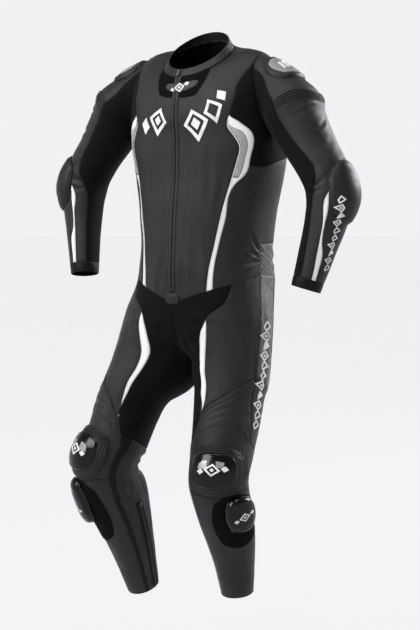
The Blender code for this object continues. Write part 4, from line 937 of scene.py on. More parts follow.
@dataclass(frozen=True)
class Woven(Finish):
    """Bi-elastic aramid cloth: a fine diagonal rib that catches a little light. Its threads are 0.4 mm apart,
    and are drawn at a coarser pitch to show."""

    pitch: float = 1.6
    depth: float = 0.12
    spread: float = 0.35

    def surface(self, tree: Tree) -> tuple:
        """Two crossed waves on the cloth's own UV map."""
        place = cloth_place(tree)
        ribs, cross = (
            waves(tree, turned(tree, place, angle), WAVES / self.pitch * share, 0.4)
            for angle, share in ((35, 1.0), (-55, 0.45))
        )
        clouded = sum_of(tree, ranged(tree, self.noise(tree, 30.0), 0.35, 0.65, 0.1, 0.6), ribs, 0.4)
        roughness = ranged(tree, ribs, 0.0, 1.0, self.roughness + 0.05, self.roughness - 0.08)
        return self.shades(tree, clouded, self.spread), roughness, sum_of(tree, ribs, cross, 0.6), self.depth


@dataclass(frozen=True)
class Knit(Finish):
    """Ribbed or looped knit: rows of small loops. The loops are drawn at about twice their real size."""

    pitch: float = 2.2
    depth: float = 0.3
    spread: float = 0.4
    rib: float = 0.0  # width of its slanting ribs, whose valleys are nearly black

    def surface(self, tree: Tree) -> tuple:
        """A row of cells for the loops, on the cloth's own UV map."""
        place = cloth_place(tree)
        cells = stretched(tree, place, (1000 / self.pitch, 700 / self.pitch, 1))
        loops = add_node(tree, "TexVoronoi", {"Scale": 1.0, "Randomness": 0.15}, {"Vector": cells})
        height = ranged(tree, loops.outputs["Distance"], 0.0, 0.7, 1.0, 0.0)
        colour = self.shades(tree, height, self.spread)
        if self.rib:
            ribs = waves(tree, turned(tree, place, -50), WAVES / self.rib)
            colour = mixed(tree, ranged(tree, ribs, 0.15, 0.6, 1.0, 0.0), colour, linear("#0c0c0d"))
        roughness = self.rough(tree, self.noise(tree, 12.0), 0.05, 0.05)
        return colour, roughness, height, self.depth


@dataclass(frozen=True)
class Moulded(Finish):
    """Moulded polyurethane or rubber: faint flow marks and fine scuffs."""

    depth: float = 0.05
    texture: float = 2.5
    scuff: str = "#8a8a8c"
    scuffed: float = 0.12

    def surface(self, tree: Tree) -> tuple:
        """Fine noise, and scuffs where a stretched noise peaks."""
        marks = soft(tree, stretched(tree, object_place(tree), (260.0, 260.0, 40.0)), 1.0, 5.0)
        worn = ranged(tree, marks, 0.60, 0.78, 0.0, self.scuffed)
        colour = self.shades(tree, ranged(tree, self.noise(tree, 18.0), 0.35, 0.65), 0.15)
        colour = mixed(tree, worn, colour, linear(self.scuff))
        roughness = ranged(tree, marks, 0.4, 0.8, self.roughness, min(1.0, self.roughness + 0.25))
        return colour, roughness, self.noise(tree, self.texture, 4.0), self.depth


@dataclass(frozen=True)
class Textured(Finish):
    """Satin plastic with a fine raised diamond texture, 2.4 mm from one diamond to the next."""

    pitch: float = 2.4
    depth: float = 0.35

    def surface(self, tree: Tree) -> tuple:
        """Crossed waves on the piece's own UV map."""
        place = cloth_place(tree)
        first, second = (waves(tree, turned(tree, place, angle), WAVES / self.pitch) for angle in (45, -45))
        height = add_node(tree, "Math", {"operation": "MINIMUM"}, {0: first, 1: second}).outputs[0]
        colour = self.shades(tree, height, 0.3)
        roughness = ranged(tree, height, 0.0, 1.0, self.roughness + 0.15, self.roughness)
        return colour, roughness, height, self.depth


@dataclass(frozen=True)
class Hooked(Finish):
    """Hook-and-loop cloth: a dense dark pile, drawn with tufts of 1.8 mm."""

    pitch: float = 1.8

    def surface(self, tree: Tree) -> tuple:
        """Cells for the tufts."""
        place = object_place(tree)
        tufts = add_node(tree, "TexVoronoi", {"Scale": 1000 / self.pitch},
                         {"Vector": place}).outputs["Distance"]
        height = ranged(tree, tufts, 0.0, 0.6, 1.0, 0.0)
        roughness = self.rough(tree, self.noise(tree, 9.0), 0.05, 0.0)
        return self.shades(tree, height, 0.6), roughness, height, 0.5


@dataclass(frozen=True)
class Metal(Finish):
    """Plated zinc: fine brushing, and darker plating in patches."""

    def surface(self, tree: Tree) -> tuple:
        """Stretched noise for the brushing."""
        lines = soft(tree, stretched(tree, object_place(tree), (3000.0, 400.0, 400.0)), 1.0, 2.0)
        colour = self.shades(tree, ranged(tree, self.noise(tree, 4.0), 0.3, 0.7), 0.25)
        roughness = self.rough(tree, lines, 0.06, 0.1)
        return colour, roughness, lines, 0.02


@dataclass(frozen=True)
class Plain(Finish):
    """Even matt paint with the faintest clouds, 0.8 m across."""

    def surface(self, tree: Tree) -> tuple:
        """Clouds of noise."""
        clouds = self.noise(tree, 800.0, 1.0)
        roughness = ranged(tree, clouds, 0.0, 1.0, self.roughness, self.roughness + 0.02)
        return self.shades(tree, clouds, 0.01), roughness, clouds, 0.0


@dataclass(frozen=True)
class Thread(Finish):
    """Bonded polyamide sewing thread: its twist shows as slanting bands, 0.5 mm apart."""

    def surface(self, tree: Tree) -> tuple:
        """A wave for the twist."""
        twist = waves(tree, object_place(tree), 320.0, 1.0)
        roughness = ranged(tree, twist, 0.0, 1.0, self.roughness, self.roughness + 0.1)
        return self.shades(tree, twist, 0.3), roughness, twist, 0.1


# Charcoal cowhide: drum dyed and pigmented, so matt, cloudy, and paler where it is rubbed.
CHARCOAL = Leather("cowhide_charcoal", "#201f21", 0.44, specular=0.22, rubbed="#38383a")
CHARCOAL_PERFORATED = PerforatedLeather("cowhide_charcoal_perforated", "#242326", 0.48, specular=0.24,
                                        rubbed="#38383a")
SATIN_GREY = Leather("cowhide_satin_grey", "#39383b", 0.30, specular=0.5, rubbed="#7a7a7c", spread=0.2)
# White cowhide: a thick pigment coat, so smoother, painted grey in its grain's creases, and grey along its
# seams that is partly dirt and partly painted shade.
WHITE = Leather("cowhide_white", "#efefed", 0.42, specular=0.3, depth=0.08, spread=0.03, seam="#5d5d5c",
                rubbed="#f4f4f2")
# Pale grey cowhide for the chest inlays; its seam colour is painted along their edges, partly dirt and partly
# painted shade.
INLAY = Leather("cowhide_pale_grey", "#a09f9c", 0.45, specular=0.3, depth=0.1, spread=0.06, seam="#3a3a39",
                rubbed="#b0b0ae")
# Black nappa: softer and finer grained than the cowhide.
NAPPA = Leather("nappa_black", "#0a0a0b", 0.46, specular=0.12, grain=1.1, depth=0.09, rubbed="#1a1a1b")
NAPPA_MATT = Leather("nappa_matt_black", "#060607", 0.62, specular=0.04, grain=1.1, depth=0.09,
                     rubbed="#121213")
NAPPA_COLLAR = Leather("nappa_charcoal", "#1c1c1e", 0.42, specular=0.26, grain=1.1, depth=0.09)
STRETCH_CLOTH = Woven("aramid_stretch_black", "#0a0a0b", 0.80, specular=0.08, sheen=0.02)
RIBBED = Knit("ribbed_knit_grey", "#77777a", 0.70, specular=0.3, sheen=0.1, rib=7.0)
LINING = Knit("mesh_lining_black", "#080809", 0.90, specular=0.1)
SHELL = Leather("cup_leather_charcoal", "#1b1a1c", 0.46, specular=0.22, grain=1.2, depth=0.06,
                rubbed="#232224", seam="#101011")
GLOSS = Moulded("polyurethane_gloss_black", "#030303", 0.12, specular=0.2, coat=0.12, scuffed=0.02)
SILVER = Textured("polyurethane_textured_silver", "#8b8b8c", 0.35, metallic=0.3)
SILVER_PATCH = Moulded("polyurethane_satin_silver", "#8d8d8e", 0.32, metallic=0.2, scuffed=0.1)
HOOK = Hooked("hook_and_loop_black", "#0d0d0e", 0.92, specular=0.08)
RUBBER = Moulded("rubber_dark_grey", "#303032", 0.55, specular=0.3, depth=0.12)
MARK_WHITE = Moulded("print_film_white", "#cfcfce", 0.45, specular=0.3, depth=0.02, scuff="#a8a8a8")
GUNMETAL = Metal("zinc_gunmetal", "#4d4d50", 0.34, metallic=1.0)
COIL = Moulded("polyamide_coil_black", "#08080a", 0.4, specular=0.2, scuffed=0.05)
TAPE = Woven("zip_tape_black", "#08080a", 0.85, specular=0.1, pitch=1.2)
THREAD_DARK = Thread("thread_dark", "#121213", 0.6, specular=0.2)
THREAD_GREY = Thread("thread_grey", "#5a5a5c", 0.6, specular=0.2)
def finished(name: str, bm: Mesh, finishes: Sequence[Finish], slot: str,
             stands_for: Sequence[str] = (), body: str = SUIT, sharp: float = 45.0) -> bpy.types.Object:
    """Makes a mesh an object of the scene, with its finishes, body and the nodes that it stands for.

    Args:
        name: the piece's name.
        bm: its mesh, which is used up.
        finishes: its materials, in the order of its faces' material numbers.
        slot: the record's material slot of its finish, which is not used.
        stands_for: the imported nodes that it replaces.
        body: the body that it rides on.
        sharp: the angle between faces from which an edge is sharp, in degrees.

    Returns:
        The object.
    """
    mesh = bpy.data.meshes.new(name)
    bm.to_mesh(mesh)
    bm.free()
    mesh.shade_smooth()
    mesh.set_sharp_from_angle(angle=math.radians(sharp))
    for finish in finishes:
        mesh.materials.append(finish.material())
    made = bpy.data.objects.new(name, mesh)
    bpy.context.scene.collection.objects.link(made)
    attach(made, body)
    if stands_for:
        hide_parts(*stands_for)
    LOG.info("%s: %d faces", name, len(mesh.polygons))
    return made


def gridded(rows: int, columns: int) -> Mesh:
    """A flat grid of this many cells down and across."""
    bm = bmesh.new()
    bmesh.ops.create_grid(bm, x_segments=columns, y_segments=rows, size=0.5)
    return bm


def spots_of(bm: Mesh, rows: int, columns: int) -> dict:
    """Each vertex's row and column on such a grid. A layer that is added later would lose them."""
    return {vert: (round((vert.co.y + 0.5) * rows), round((vert.co.x + 0.5) * columns)) for vert in bm.verts}


def block(bm: Mesh, point: Vector, across: Vector, up: Vector, size: Sequence[float]) -> None:
    """Adds a block at a point, by its way across, its way up and its three sizes."""
    turn = Matrix((across, up.cross(across), up)).transposed().to_4x4()
    bmesh.ops.create_cube(bm, size=1.0,
                          matrix=Matrix.Translation(point) @ turn @ Matrix.Diagonal((*size, 1.0)))


def chart(bm: Mesh, place: Callable) -> None:
    """Sets the mesh's own UV map, where place gives each vertex's place on it."""
    layer = bm.loops.layers.uv.new("cloth")
    for face in bm.faces:
        for loop in face.loops:
            loop[layer].uv = place(loop.vert)


def face_out(bm: Mesh) -> None:
    """Turns the faces of a closed mesh outwards."""
    bmesh.ops.recalc_face_normals(bm, faces=bm.faces)
    if bm.calc_volume(signed=True) < 0:
        bmesh.ops.reverse_faces(bm, faces=bm.faces)


def thicken(bm: Mesh, depth: Callable[[bmesh.types.BMVert], Vector]) -> set:
    """Closes a sheet into a wall.

    Args:
        bm: the sheet, which becomes the wall's outer side.
        depth: gives the step from a point of the outer side to the inner side.

    Returns:
        The faces of the inner side.
    """
    made = bmesh.ops.extrude_face_region(bm, geom=list(bm.faces))["geom"]
    for vert in (item for item in made if isinstance(item, bmesh.types.BMVert)):
        vert.co += depth(vert)
    face_out(bm)
    return {item for item in made if isinstance(item, bmesh.types.BMFace)}


class Crease(NamedTuple):
    """A soft trough in the cloth, or with a negative depth a ridge, from one place on a form to another."""

    turn: float
    level: float
    end_turn: float
    end_level: float
    bow: float  # levels by which its middle is pushed down the form
    width: float  # in millimetres, from its middle to where it rises again
    depth: float  # in millimetres


class Fold(NamedTuple):
    """A crease laid on its form."""

    points: Array
    along: Array
    out: Array
    length: float
    width: float
    depth: float


class Drape:
    """The unevenness of one side's cloth: its creases, and the slight waves of soft leather."""

    samples = 28  # points along a crease
    taper = 0.8  # how bluntly a crease fades at its ends
    narrowest = 0.55  # share of its width that it has there
    ridge = (0.45, 1.8, 0.75)  # height, place and width of the ridge beside a trough, in the trough's own
    outline = 2.3  # squareness of the outline within which a cup counts as the surface
    waves = ((0.052, 0.0009), (0.021, 0.00028))  # (size, height) of the waves of soft leather

    def __init__(self, side: Side, forms: dict[str, Form]) -> None:
        """Lays one side's creases on their forms."""
        self.side = side
        self.forms = forms
        self.folds = [
            self.lay(forms[name], Crease(*row)) for name, rows in CREASES[side].items() for row in rows
        ]
        self.cups: dict[str, list["Moulding"]] = {name: [] for name in forms}

    def skin(self, name: str, turn: Array, level: Array) -> tuple[Array, Array]:
        """Points of the outermost surface on a form, cups included, with their outward vectors."""
        form = self.forms[name]
        points, out = form.point(turn, level), form.face(turn, level)
        height = self.relief(points, out)
        swell = self.swell(points)
        for cup in self.cups[name]:
            x, y = (turn - cup.turn) / cup.half_turn, (level - cup.level) / cup.half_level
            inside = np.abs(x) ** self.outline + np.abs(y) ** self.outline < 1.0
            height = np.where(inside, np.maximum(height, swell + cup.heights(turn, level)[1]), height)
        return points + out * height[:, None], out

    def lay(self, form: Form, crease: Crease) -> Fold:
        """The crease as points on its form."""
        part = np.linspace(0.0, 1.0, self.samples)
        turn = crease.turn + (crease.end_turn - crease.turn) * part
        level = crease.level + (crease.end_level - crease.level) * part + crease.bow * np.sin(math.pi * part)
        points = form.point(turn, level)
        along = np.gradient(points, axis=0)
        length = np.linalg.norm(np.diff(points, axis=0), axis=-1).sum()
        return Fold(points, unit(along), form.face(turn, level), length, crease.width / 1000,
                    crease.depth / 1000)

    def relief(self, points: Array, out: Array) -> Array:
        """How far the cloth stands out from its form at each point, whose outward vectors are given."""
        return self.swell(points) + sum(self.fold_relief(fold, points, out) for fold in self.folds)

    def swell(self, points: Array) -> Array:
        """The slight waves alone."""
        spots = points * self.side.mirror
        return sum(
            height * np.array([noise.noise(Vector(spot)) for spot in spots / size])
            for size, height in self.waves
        )

    def fold_relief(self, fold: Fold, points: Array, out: Array) -> Array:
        """What one fold adds at each point: a rounded trough with a low ridge at each side."""
        rise = np.zeros(len(points))
        reach = 3.0 * fold.width
        low, high = fold.points.min(axis=0) - reach, fold.points.max(axis=0) + reach
        near = np.flatnonzero(((points > low) & (points < high)).all(axis=-1))
        if not near.size:
            return rise
        gaps = points[near][:, None] - fold.points[None]
        nearest = (gaps**2).sum(-1).argmin(axis=1)
        gap = gaps[np.arange(len(near)), nearest]
        along = fold.along[nearest]
        run = (gap * along).sum(-1)
        apart = np.linalg.norm(gap - run[:, None] * along, axis=-1)
        part = np.clip(nearest / (self.samples - 1) + run / fold.length, 0.0, 1.0)
        window = np.sin(math.pi * part) ** self.taper
        across = apart / (fold.width * (self.narrowest + (1 - self.narrowest) * window))
        height, place, width = self.ridge
        trough = np.exp(-(across**2)) - height * np.exp(-(((across - place) / width) ** 2))
        agree = np.clip((out[near] * fold.out[nearest]).sum(-1), 0.0, 1.0)
        rise[near] = -fold.depth * trough * window * agree
        return rise


class Stitching:
    """The stitches of one sub-assembly, gathered from its panels and made as one mesh for each thread."""

    inset = 0.0024  # of a row of stitches from the seam
    pitch = 0.0044
    length = 0.0030
    thickness = 0.00052

    def __init__(self, name: str) -> None:
        """Starts with no stitches."""
        self.name = name
        self.rows: dict[Finish, list[tuple[Vector, Vector, Vector]]] = {}

    def sew(self, bm: Mesh, thread: Finish) -> None:
        """Runs a row of stitches along each border of a sheet, inside its seam."""
        out = bm.verts.layers.float_vector["out"]
        borders = border_tree(bm)
        starts = {}
        for edge in bm.edges:
            if len(edge.link_faces) == 1:
                loop = edge.link_loops[0]
                starts[loop.vert] = loop
        stitches = self.rows.setdefault(thread, [])
        while starts:
            _, loop = starts.popitem()
            left = 0.0
            while loop is not None:
                start, end = loop.vert, loop.link_loop_next.vert
                run = end.co - start.co
                inward = loop.face.normal.cross(run).normalized()
                while left < run.length:
                    part = left / run.length
                    up = (start[out].lerp(end[out], part)).normalized()
                    spot = start.co + run * part + inward * self.inset
                    stitches += self.stitch(spot, run.normalized(), up, borders)
                    left += self.pitch
                left -= run.length
                loop = starts.pop(end, None)

    def stitch(self, spot: Vector, along: Vector, up: Vector, borders: KDTree) -> list:
        """The place of one stitch, its way along and its way up, or none where the cloth is too narrow."""
        if borders.find(spot)[2] < STITCH_ROOM * self.inset:
            return []
        up = (up - along * up.dot(along)).normalized()
        spot = spot + up * (SEAM_DROP * (1 - math.exp(-self.inset / SEAM_REACH)) - 0.2 * self.thickness)
        return [(spot, along, up)]

    def build(self) -> None:
        """Makes the stitches."""
        size = (self.length, self.thickness, 0.8 * self.thickness)
        for thread, stitches in self.rows.items():
            bm = bmesh.new()
            for place in stitches:
                block(bm, *place, size)
            finished(f"stitches_{self.name}_{thread.name}", bm, [thread], "charcoal_leather", sharp=180.0)


def border_tree(bm: Mesh) -> KDTree:
    """A search tree of points along a sheet's borders."""
    spots = []
    for edge in bm.edges:
        if len(edge.link_faces) == 1:
            low, high = (vert.co for vert in edge.verts)
            steps = max(2, math.ceil((high - low).length / 0.001))
            spots += [low.lerp(high, k / steps) for k in range(steps)]
    tree = KDTree(len(spots))
    for number, spot in enumerate(spots):
        tree.insert(spot, number)
    tree.balance()
    return tree


class Ribs(NamedTuple):
    """Raised ribs of an accordion panel."""

    height: float
    first_row: int
    last_row: int
    per_row: int
    slant: float = 0.0  # ribs that each column climbs


@dataclass(frozen=True)
class ClothPanel:
    """One cut piece of cloth: the blocks of grid cells that it covers, each (first row, last row, first
    column, last column), less its holes."""

    node: str
    finish: Finish
    slot: str
    blocks: tuple
    holes: tuple = ()
    wall: float = LEATHER
    ribs: Optional[Ribs] = None
    thread: Optional[Finish] = THREAD_DARK
    fine: tuple[int, int] = (8, 8)  # fine cells to each cell, down and across
    held: str = "hung"
    zone: tuple = ()  # a block with a finish of its own
    zone_finish: Optional[Finish] = None

    def lines(self, axis: int) -> Array:
        """The rows or the columns of its fine grid, with one more at each side of every seam."""
        borders = sorted({b for block in self.blocks + self.holes for b in block[2 * axis : 2 * axis + 2]})
        low, high, count = borders[0], borders[-1], self.fine[axis]
        lines = np.linspace(low, high, (high - low) * count + 1)
        close = [b + s * EDGE_LINE / count for b in borders for s in (-1, 1)]
        return np.unique(np.round(np.concatenate([lines, [c for c in close if low < c < high]]), 6))

    def covers(self, rows: Array, columns: Array) -> Array:
        """Which cells of the fine grid it covers."""
        down, across = ((lines[1:] + lines[:-1]) / 2 for lines in (rows, columns))
        cells = np.zeros((len(down), len(across)), bool)
        for value, blocks in ((True, self.blocks), (False, self.holes)):
            for first_row, last_row, first_column, last_column in blocks:
                inside = (down > first_row) & (down < last_row)
                cells[np.ix_(inside, (across > first_column) & (across < last_column))] = value
        return cells

    def build(self, form: Form, side: Optional[Side], drapes: dict[Side, Drape],
              stitching: Stitching) -> None:
        """Makes the panel, and adds its stitches to those of its sub-assembly.

        Args:
            form: the tube that it lies on.
            side: the wearer's side, or None where it spans both.
            drapes: the creases of each side.
            stitching: the sub-assembly's stitches.
        """
        rows, columns = self.lines(0), self.lines(1)
        net = form.net(rows, columns)
        if side is Side.RIGHT:
            net = replace(net, flips=-net.flips)
        cells = self.covers(rows, columns)
        bm = lay_sheet(net, cells)
        bm.normal_update()
        draw_in(bm)
        self.shape(bm, drapes)
        bm.normal_update()
        if self.thread is not None:
            stitching.sew(bm, self.thread)
        out = bm.verts.layers.float_vector["out"]
        area = sum(face.calc_area() for face in bm.faces)
        inner = thicken(bm, lambda vert: -self.wall * vert[out])
        place = bm.verts.layers.float_vector["map"]
        chart(bm, lambda vert: vert[place][:2])
        grid = bm.verts.layers.float_vector["place"]
        for face in bm.faces:
            face.material_index = int(face in inner)
            if self.zone and face not in inner:
                row, column = (sum(vert[grid][k] for vert in face.verts) / len(face.verts) for k in (0, 1))
                first_row, last_row, first_column, last_column = self.zone
                if first_row < row < last_row and first_column < column < last_column:
                    face.material_index = 2
        name = self.node if side is None else f"{self.node}_{side.value}"
        finishes = [self.finish, LINING] + ([self.zone_finish] if self.zone else [])
        made = finished(f"{name}_cloth", bm, finishes, self.slot, [name])
        width, length = flat_size(net.points, cells)
        LOG.info("%s is cut from %.3f x %.3f m, and its area is %.4f m2", name, width, length, area)

    def shape(self, bm: Mesh, drapes: dict[Side, Drape]) -> None:
        """Moves the sheet's points out to its creases and ribs, and down to its seams."""
        layer = bm.verts.layers
        out, place, seam = layer.float_vector["out"], layer.float_vector["place"], layer.float["seam"]
        verts = list(bm.verts)
        points = np.array([vert.co for vert in verts])
        outs = np.array([vert[out] for vert in verts])
        rows, columns, flips = np.array([vert[place] for vert in verts]).T
        borders = border_tree(bm)
        seams = np.array([borders.find(vert.co)[2] for vert in verts])
        rise = np.zeros(len(verts))
        mirror = mirrors(flips)
        for side, drape in drapes.items():
            own = flips == side.flip
            if own.any():
                rise[own] = drape.relief((points * mirror)[own], (outs * mirror)[own])
        if self.ribs is not None:
            inside = (rows > self.ribs.first_row) & (rows < self.ribs.last_row)
            phase = rows * self.ribs.per_row + columns * self.ribs.slant
            wave = np.abs(np.sin(math.pi * phase)) ** RIB_BLUNTNESS
            rise += np.where(inside, self.ribs.height * wave * eased(seams / RIB_RUN_IN), 0.0)
        rise -= SEAM_DROP * np.exp(-seams / SEAM_REACH)
        points = points + outs * rise[:, None]
        for number, vert in enumerate(verts):
            vert.co = points[number]
            vert[seam] = seams[number]


def mirrors(flips: Array) -> Array:
    """For each flip, what brings a point of the +X side to its own side."""
    return np.stack([flips, 0 * flips + 1, 0 * flips + 1], -1)


def lay_sheet(net: Net, cells: Array) -> Mesh:
    """A sheet of the net's cells. Layers keep each vertex's outward vector, its row, column and side, and its
    place on the cloth in metres, which the weave follows."""
    height, width = cells.shape
    across = np.cumsum(np.linalg.norm(np.diff(net.points, axis=1, prepend=net.points[:, :1]), axis=-1),
                       axis=1)
    down = np.cumsum(np.linalg.norm(np.diff(net.points, axis=0, prepend=net.points[:1]), axis=-1), axis=0)
    across -= across.mean(axis=1, keepdims=True)
    bm = gridded(height, width)
    out, place, laid = (bm.verts.layers.float_vector.new(name) for name in ("out", "place", "map"))
    bm.verts.layers.float.new("seam")
    spots = spots_of(bm, height, width)
    unused = []
    for face in bm.faces:
        corners = [spots[vert] for vert in face.verts]
        if not cells[min(i for i, _ in corners), min(j for _, j in corners)]:
            unused.append(face)
    mirror = mirrors(net.flips)
    points, outs = net.points * mirror, net.out * mirror
    for vert, (i, j) in spots.items():
        vert.co = points[i, j]
        vert[out] = outs[i, j]
        vert[place] = (net.rows[i, j], net.columns[i, j], net.flips[i, j])
        vert[laid] = (across[i, j], down[i, j], 0.0)
    bmesh.ops.delete(bm, geom=unused, context="FACES")
    bmesh.ops.remove_doubles(bm, verts=bm.verts, dist=WELD)
    bmesh.ops.delete(bm, geom=[edge for edge in bm.edges if not edge.link_faces], context="EDGES")
    bmesh.ops.delete(bm, geom=[vert for vert in bm.verts if not vert.link_faces], context="VERTS")
    return bm


def draw_in(bm: Mesh) -> None:
    """Moves the sheet's edge inward by half a seam gap, along the cloth."""
    moves: dict = {}
    for edge in bm.edges:
        if len(edge.link_faces) != 1:
            continue
        loop = edge.link_loops[0]
        inward = loop.face.normal.cross(loop.link_loop_next.vert.co - loop.vert.co).normalized()
        for vert in edge.verts:
            moves.setdefault(vert, []).append(inward)
    for vert, inwards in moves.items():
        middle = sum(inwards[1:], inwards[0]).normalized()
        vert.co += middle * (SEAM_GAP / 2 / max(middle.dot(inwards[0]), SHARPEST))


def flat_size(points: Array, cells: Array) -> tuple[float, float]:
    """The greatest width and length of the cloth, measured along its cells."""
    across = np.linalg.norm(np.diff(points, axis=1), axis=-1)
    down = np.linalg.norm(np.diff(points, axis=0), axis=-1)
    widths = ((across[1:] + across[:-1]) / 2 * cells).sum(axis=1)
    lengths = ((down[:, 1:] + down[:, :-1]) / 2 * cells).sum(axis=0)
    return float(widths.max()), float(lengths.max())


def leather(node: str, blocks: tuple, **more: object) -> ClothPanel:
    """A panel of charcoal cowhide."""
    return ClothPanel(node, CHARCOAL, "charcoal_leather", blocks, **more)


def stretchy(node: str, blocks: tuple, **more: object) -> ClothPanel:
    """A panel of black stretch cloth, which has no stitches of its own."""
    return ClothPanel(node, STRETCH_CLOTH, "stretch_fabric", blocks, wall=STRETCH, thread=None,
                      held="stretched", **more)


def white(node: str, blocks: tuple, **more: object) -> ClothPanel:
    """A panel of white cowhide."""
    return ClothPanel(node, WHITE, "white_leather", blocks, thread=THREAD_GREY, **more)


@dataclass(frozen=True)
class Torso:
    """The body of the suit, cut in panels on each side of the zip, with a back in one piece."""

    form: TorsoForm
    sides: tuple[ClothPanel, ...] = (
        ClothPanel("neck_insert", NAPPA_MATT, "soft_leather", ((0, 2, 0, 2),), wall=STRETCH, thread=None),
        leather("front", ((0, 2, 2, 5), (2, 26, 0, 5))),
        white("chest_blade", ((4, 26, 5, 6),), fine=(8, 10)),
        stretchy("underarm_stretch", ((4, 18, 6, 9), (9, 18, 10, 12))),
        leather("flank", ((18, 26, 6, 9), (18, 22, 10, 12))),
        ClothPanel("hip_ribs", RIBBED, "ribbed_fabric", ((22, 26, 10, 12),), wall=STRETCH,
                   ribs=Ribs(0.0015, 22, 26, 3, 2.0),
                   thread=None, fine=(24, 8), held="stretched"),
    )
    back: ClothPanel = leather("back", ((0, 9, 0, 12), (9, 26, 2, 10)))

    def build(self, drapes: dict[Side, Drape]) -> None:
        """Makes the panels and their stitches."""
        stitching = Stitching("torso")
        for side in Side:
            for panel in self.sides:
                panel.build(self.form, side, {side: drapes[side]}, stitching)
        self.back.build(BackForm(), None, drapes, stitching)
        stitching.build()


@dataclass(frozen=True)
class Limb:
    """A sleeve or a leg: its form and the panels that it is cut in."""

    form: SleeveForm | LegForm
    panels: tuple[ClothPanel, ...] = ()

    def build(self, drape: Drape) -> None:
        """Makes the panels and their stitches."""
        side = self.form.side
        stitching = Stitching(f"{self.form.name}_{side.value}")
        for panel in self.panels:
            panel.build(self.form, side, {side: drape}, stitching)
        stitching.build()


@dataclass(frozen=True)
class Sleeve(Limb):
    """One sleeve, with an accordion at the shoulder and a stretch inner side."""

    panels: tuple[ClothPanel, ...] = (
        leather("shoulder", ((0, 8, 0, 4), (0, 8, 20, 24)), ribs=Ribs(0.003, 4, 8, 1), fine=(9, 6)),
        leather("upper_sleeve", ((8, 12, 0, 4), (8, 12, 20, 24)), fine=(9, 6)),
        stretchy("inner_sleeve", ((0, 20, 4, 20),), fine=(7, 5)),
        leather("forearm", ((12, 20, 0, 4), (12, 20, 20, 24)), holes=((14, 20, 2, 3),), fine=(8, 6)),
        white("forearm_stripe", ((14, 20, 2, 3),), fine=(8, 10)),
        ClothPanel("cuff", NAPPA, "soft_leather", ((20, 21, 0, 24),), fine=(6, 6)),
    )


@dataclass(frozen=True)
class Leg(Limb):
    """One leg, with a stretch inner thigh, an accordion above the knee and a soft calf."""

    panels: tuple[ClothPanel, ...] = (
        stretchy("inner_leg_stretch", ((0, 9, 0, 5), (0, 1, 5, 7))),
        white("thigh_stripe", ((1, 7, 5, 6),), fine=(8, 10)),
        leather("thigh_front", ((0, 1, 7, 9), (1, 7, 6, 9))),
        ClothPanel("thigh_side", SATIN_GREY, "charcoal_leather", ((0, 7, 9, 11),)),
        leather("seat", ((0, 9, 11, 15), (7, 9, 9, 11)), zone=(2, 9, 13, 15), zone_finish=STRETCH_CLOTH),
        leather("knee", ((7, 13, 5, 9), (9, 13, 9, 11)), ribs=Ribs(0.0012, 7, 9, 2), fine=(14, 8),
                zone=(7, 11, 5, 6), zone_finish=CHARCOAL_PERFORATED),
        leather("shin", ((13, 19, 5, 11),)),
        ClothPanel("calf", NAPPA, "soft_leather", ((9, 19, 0, 5), (9, 19, 11, 15)), zone=(9, 19, 14, 15),
                   zone_finish=CHARCOAL),
    )


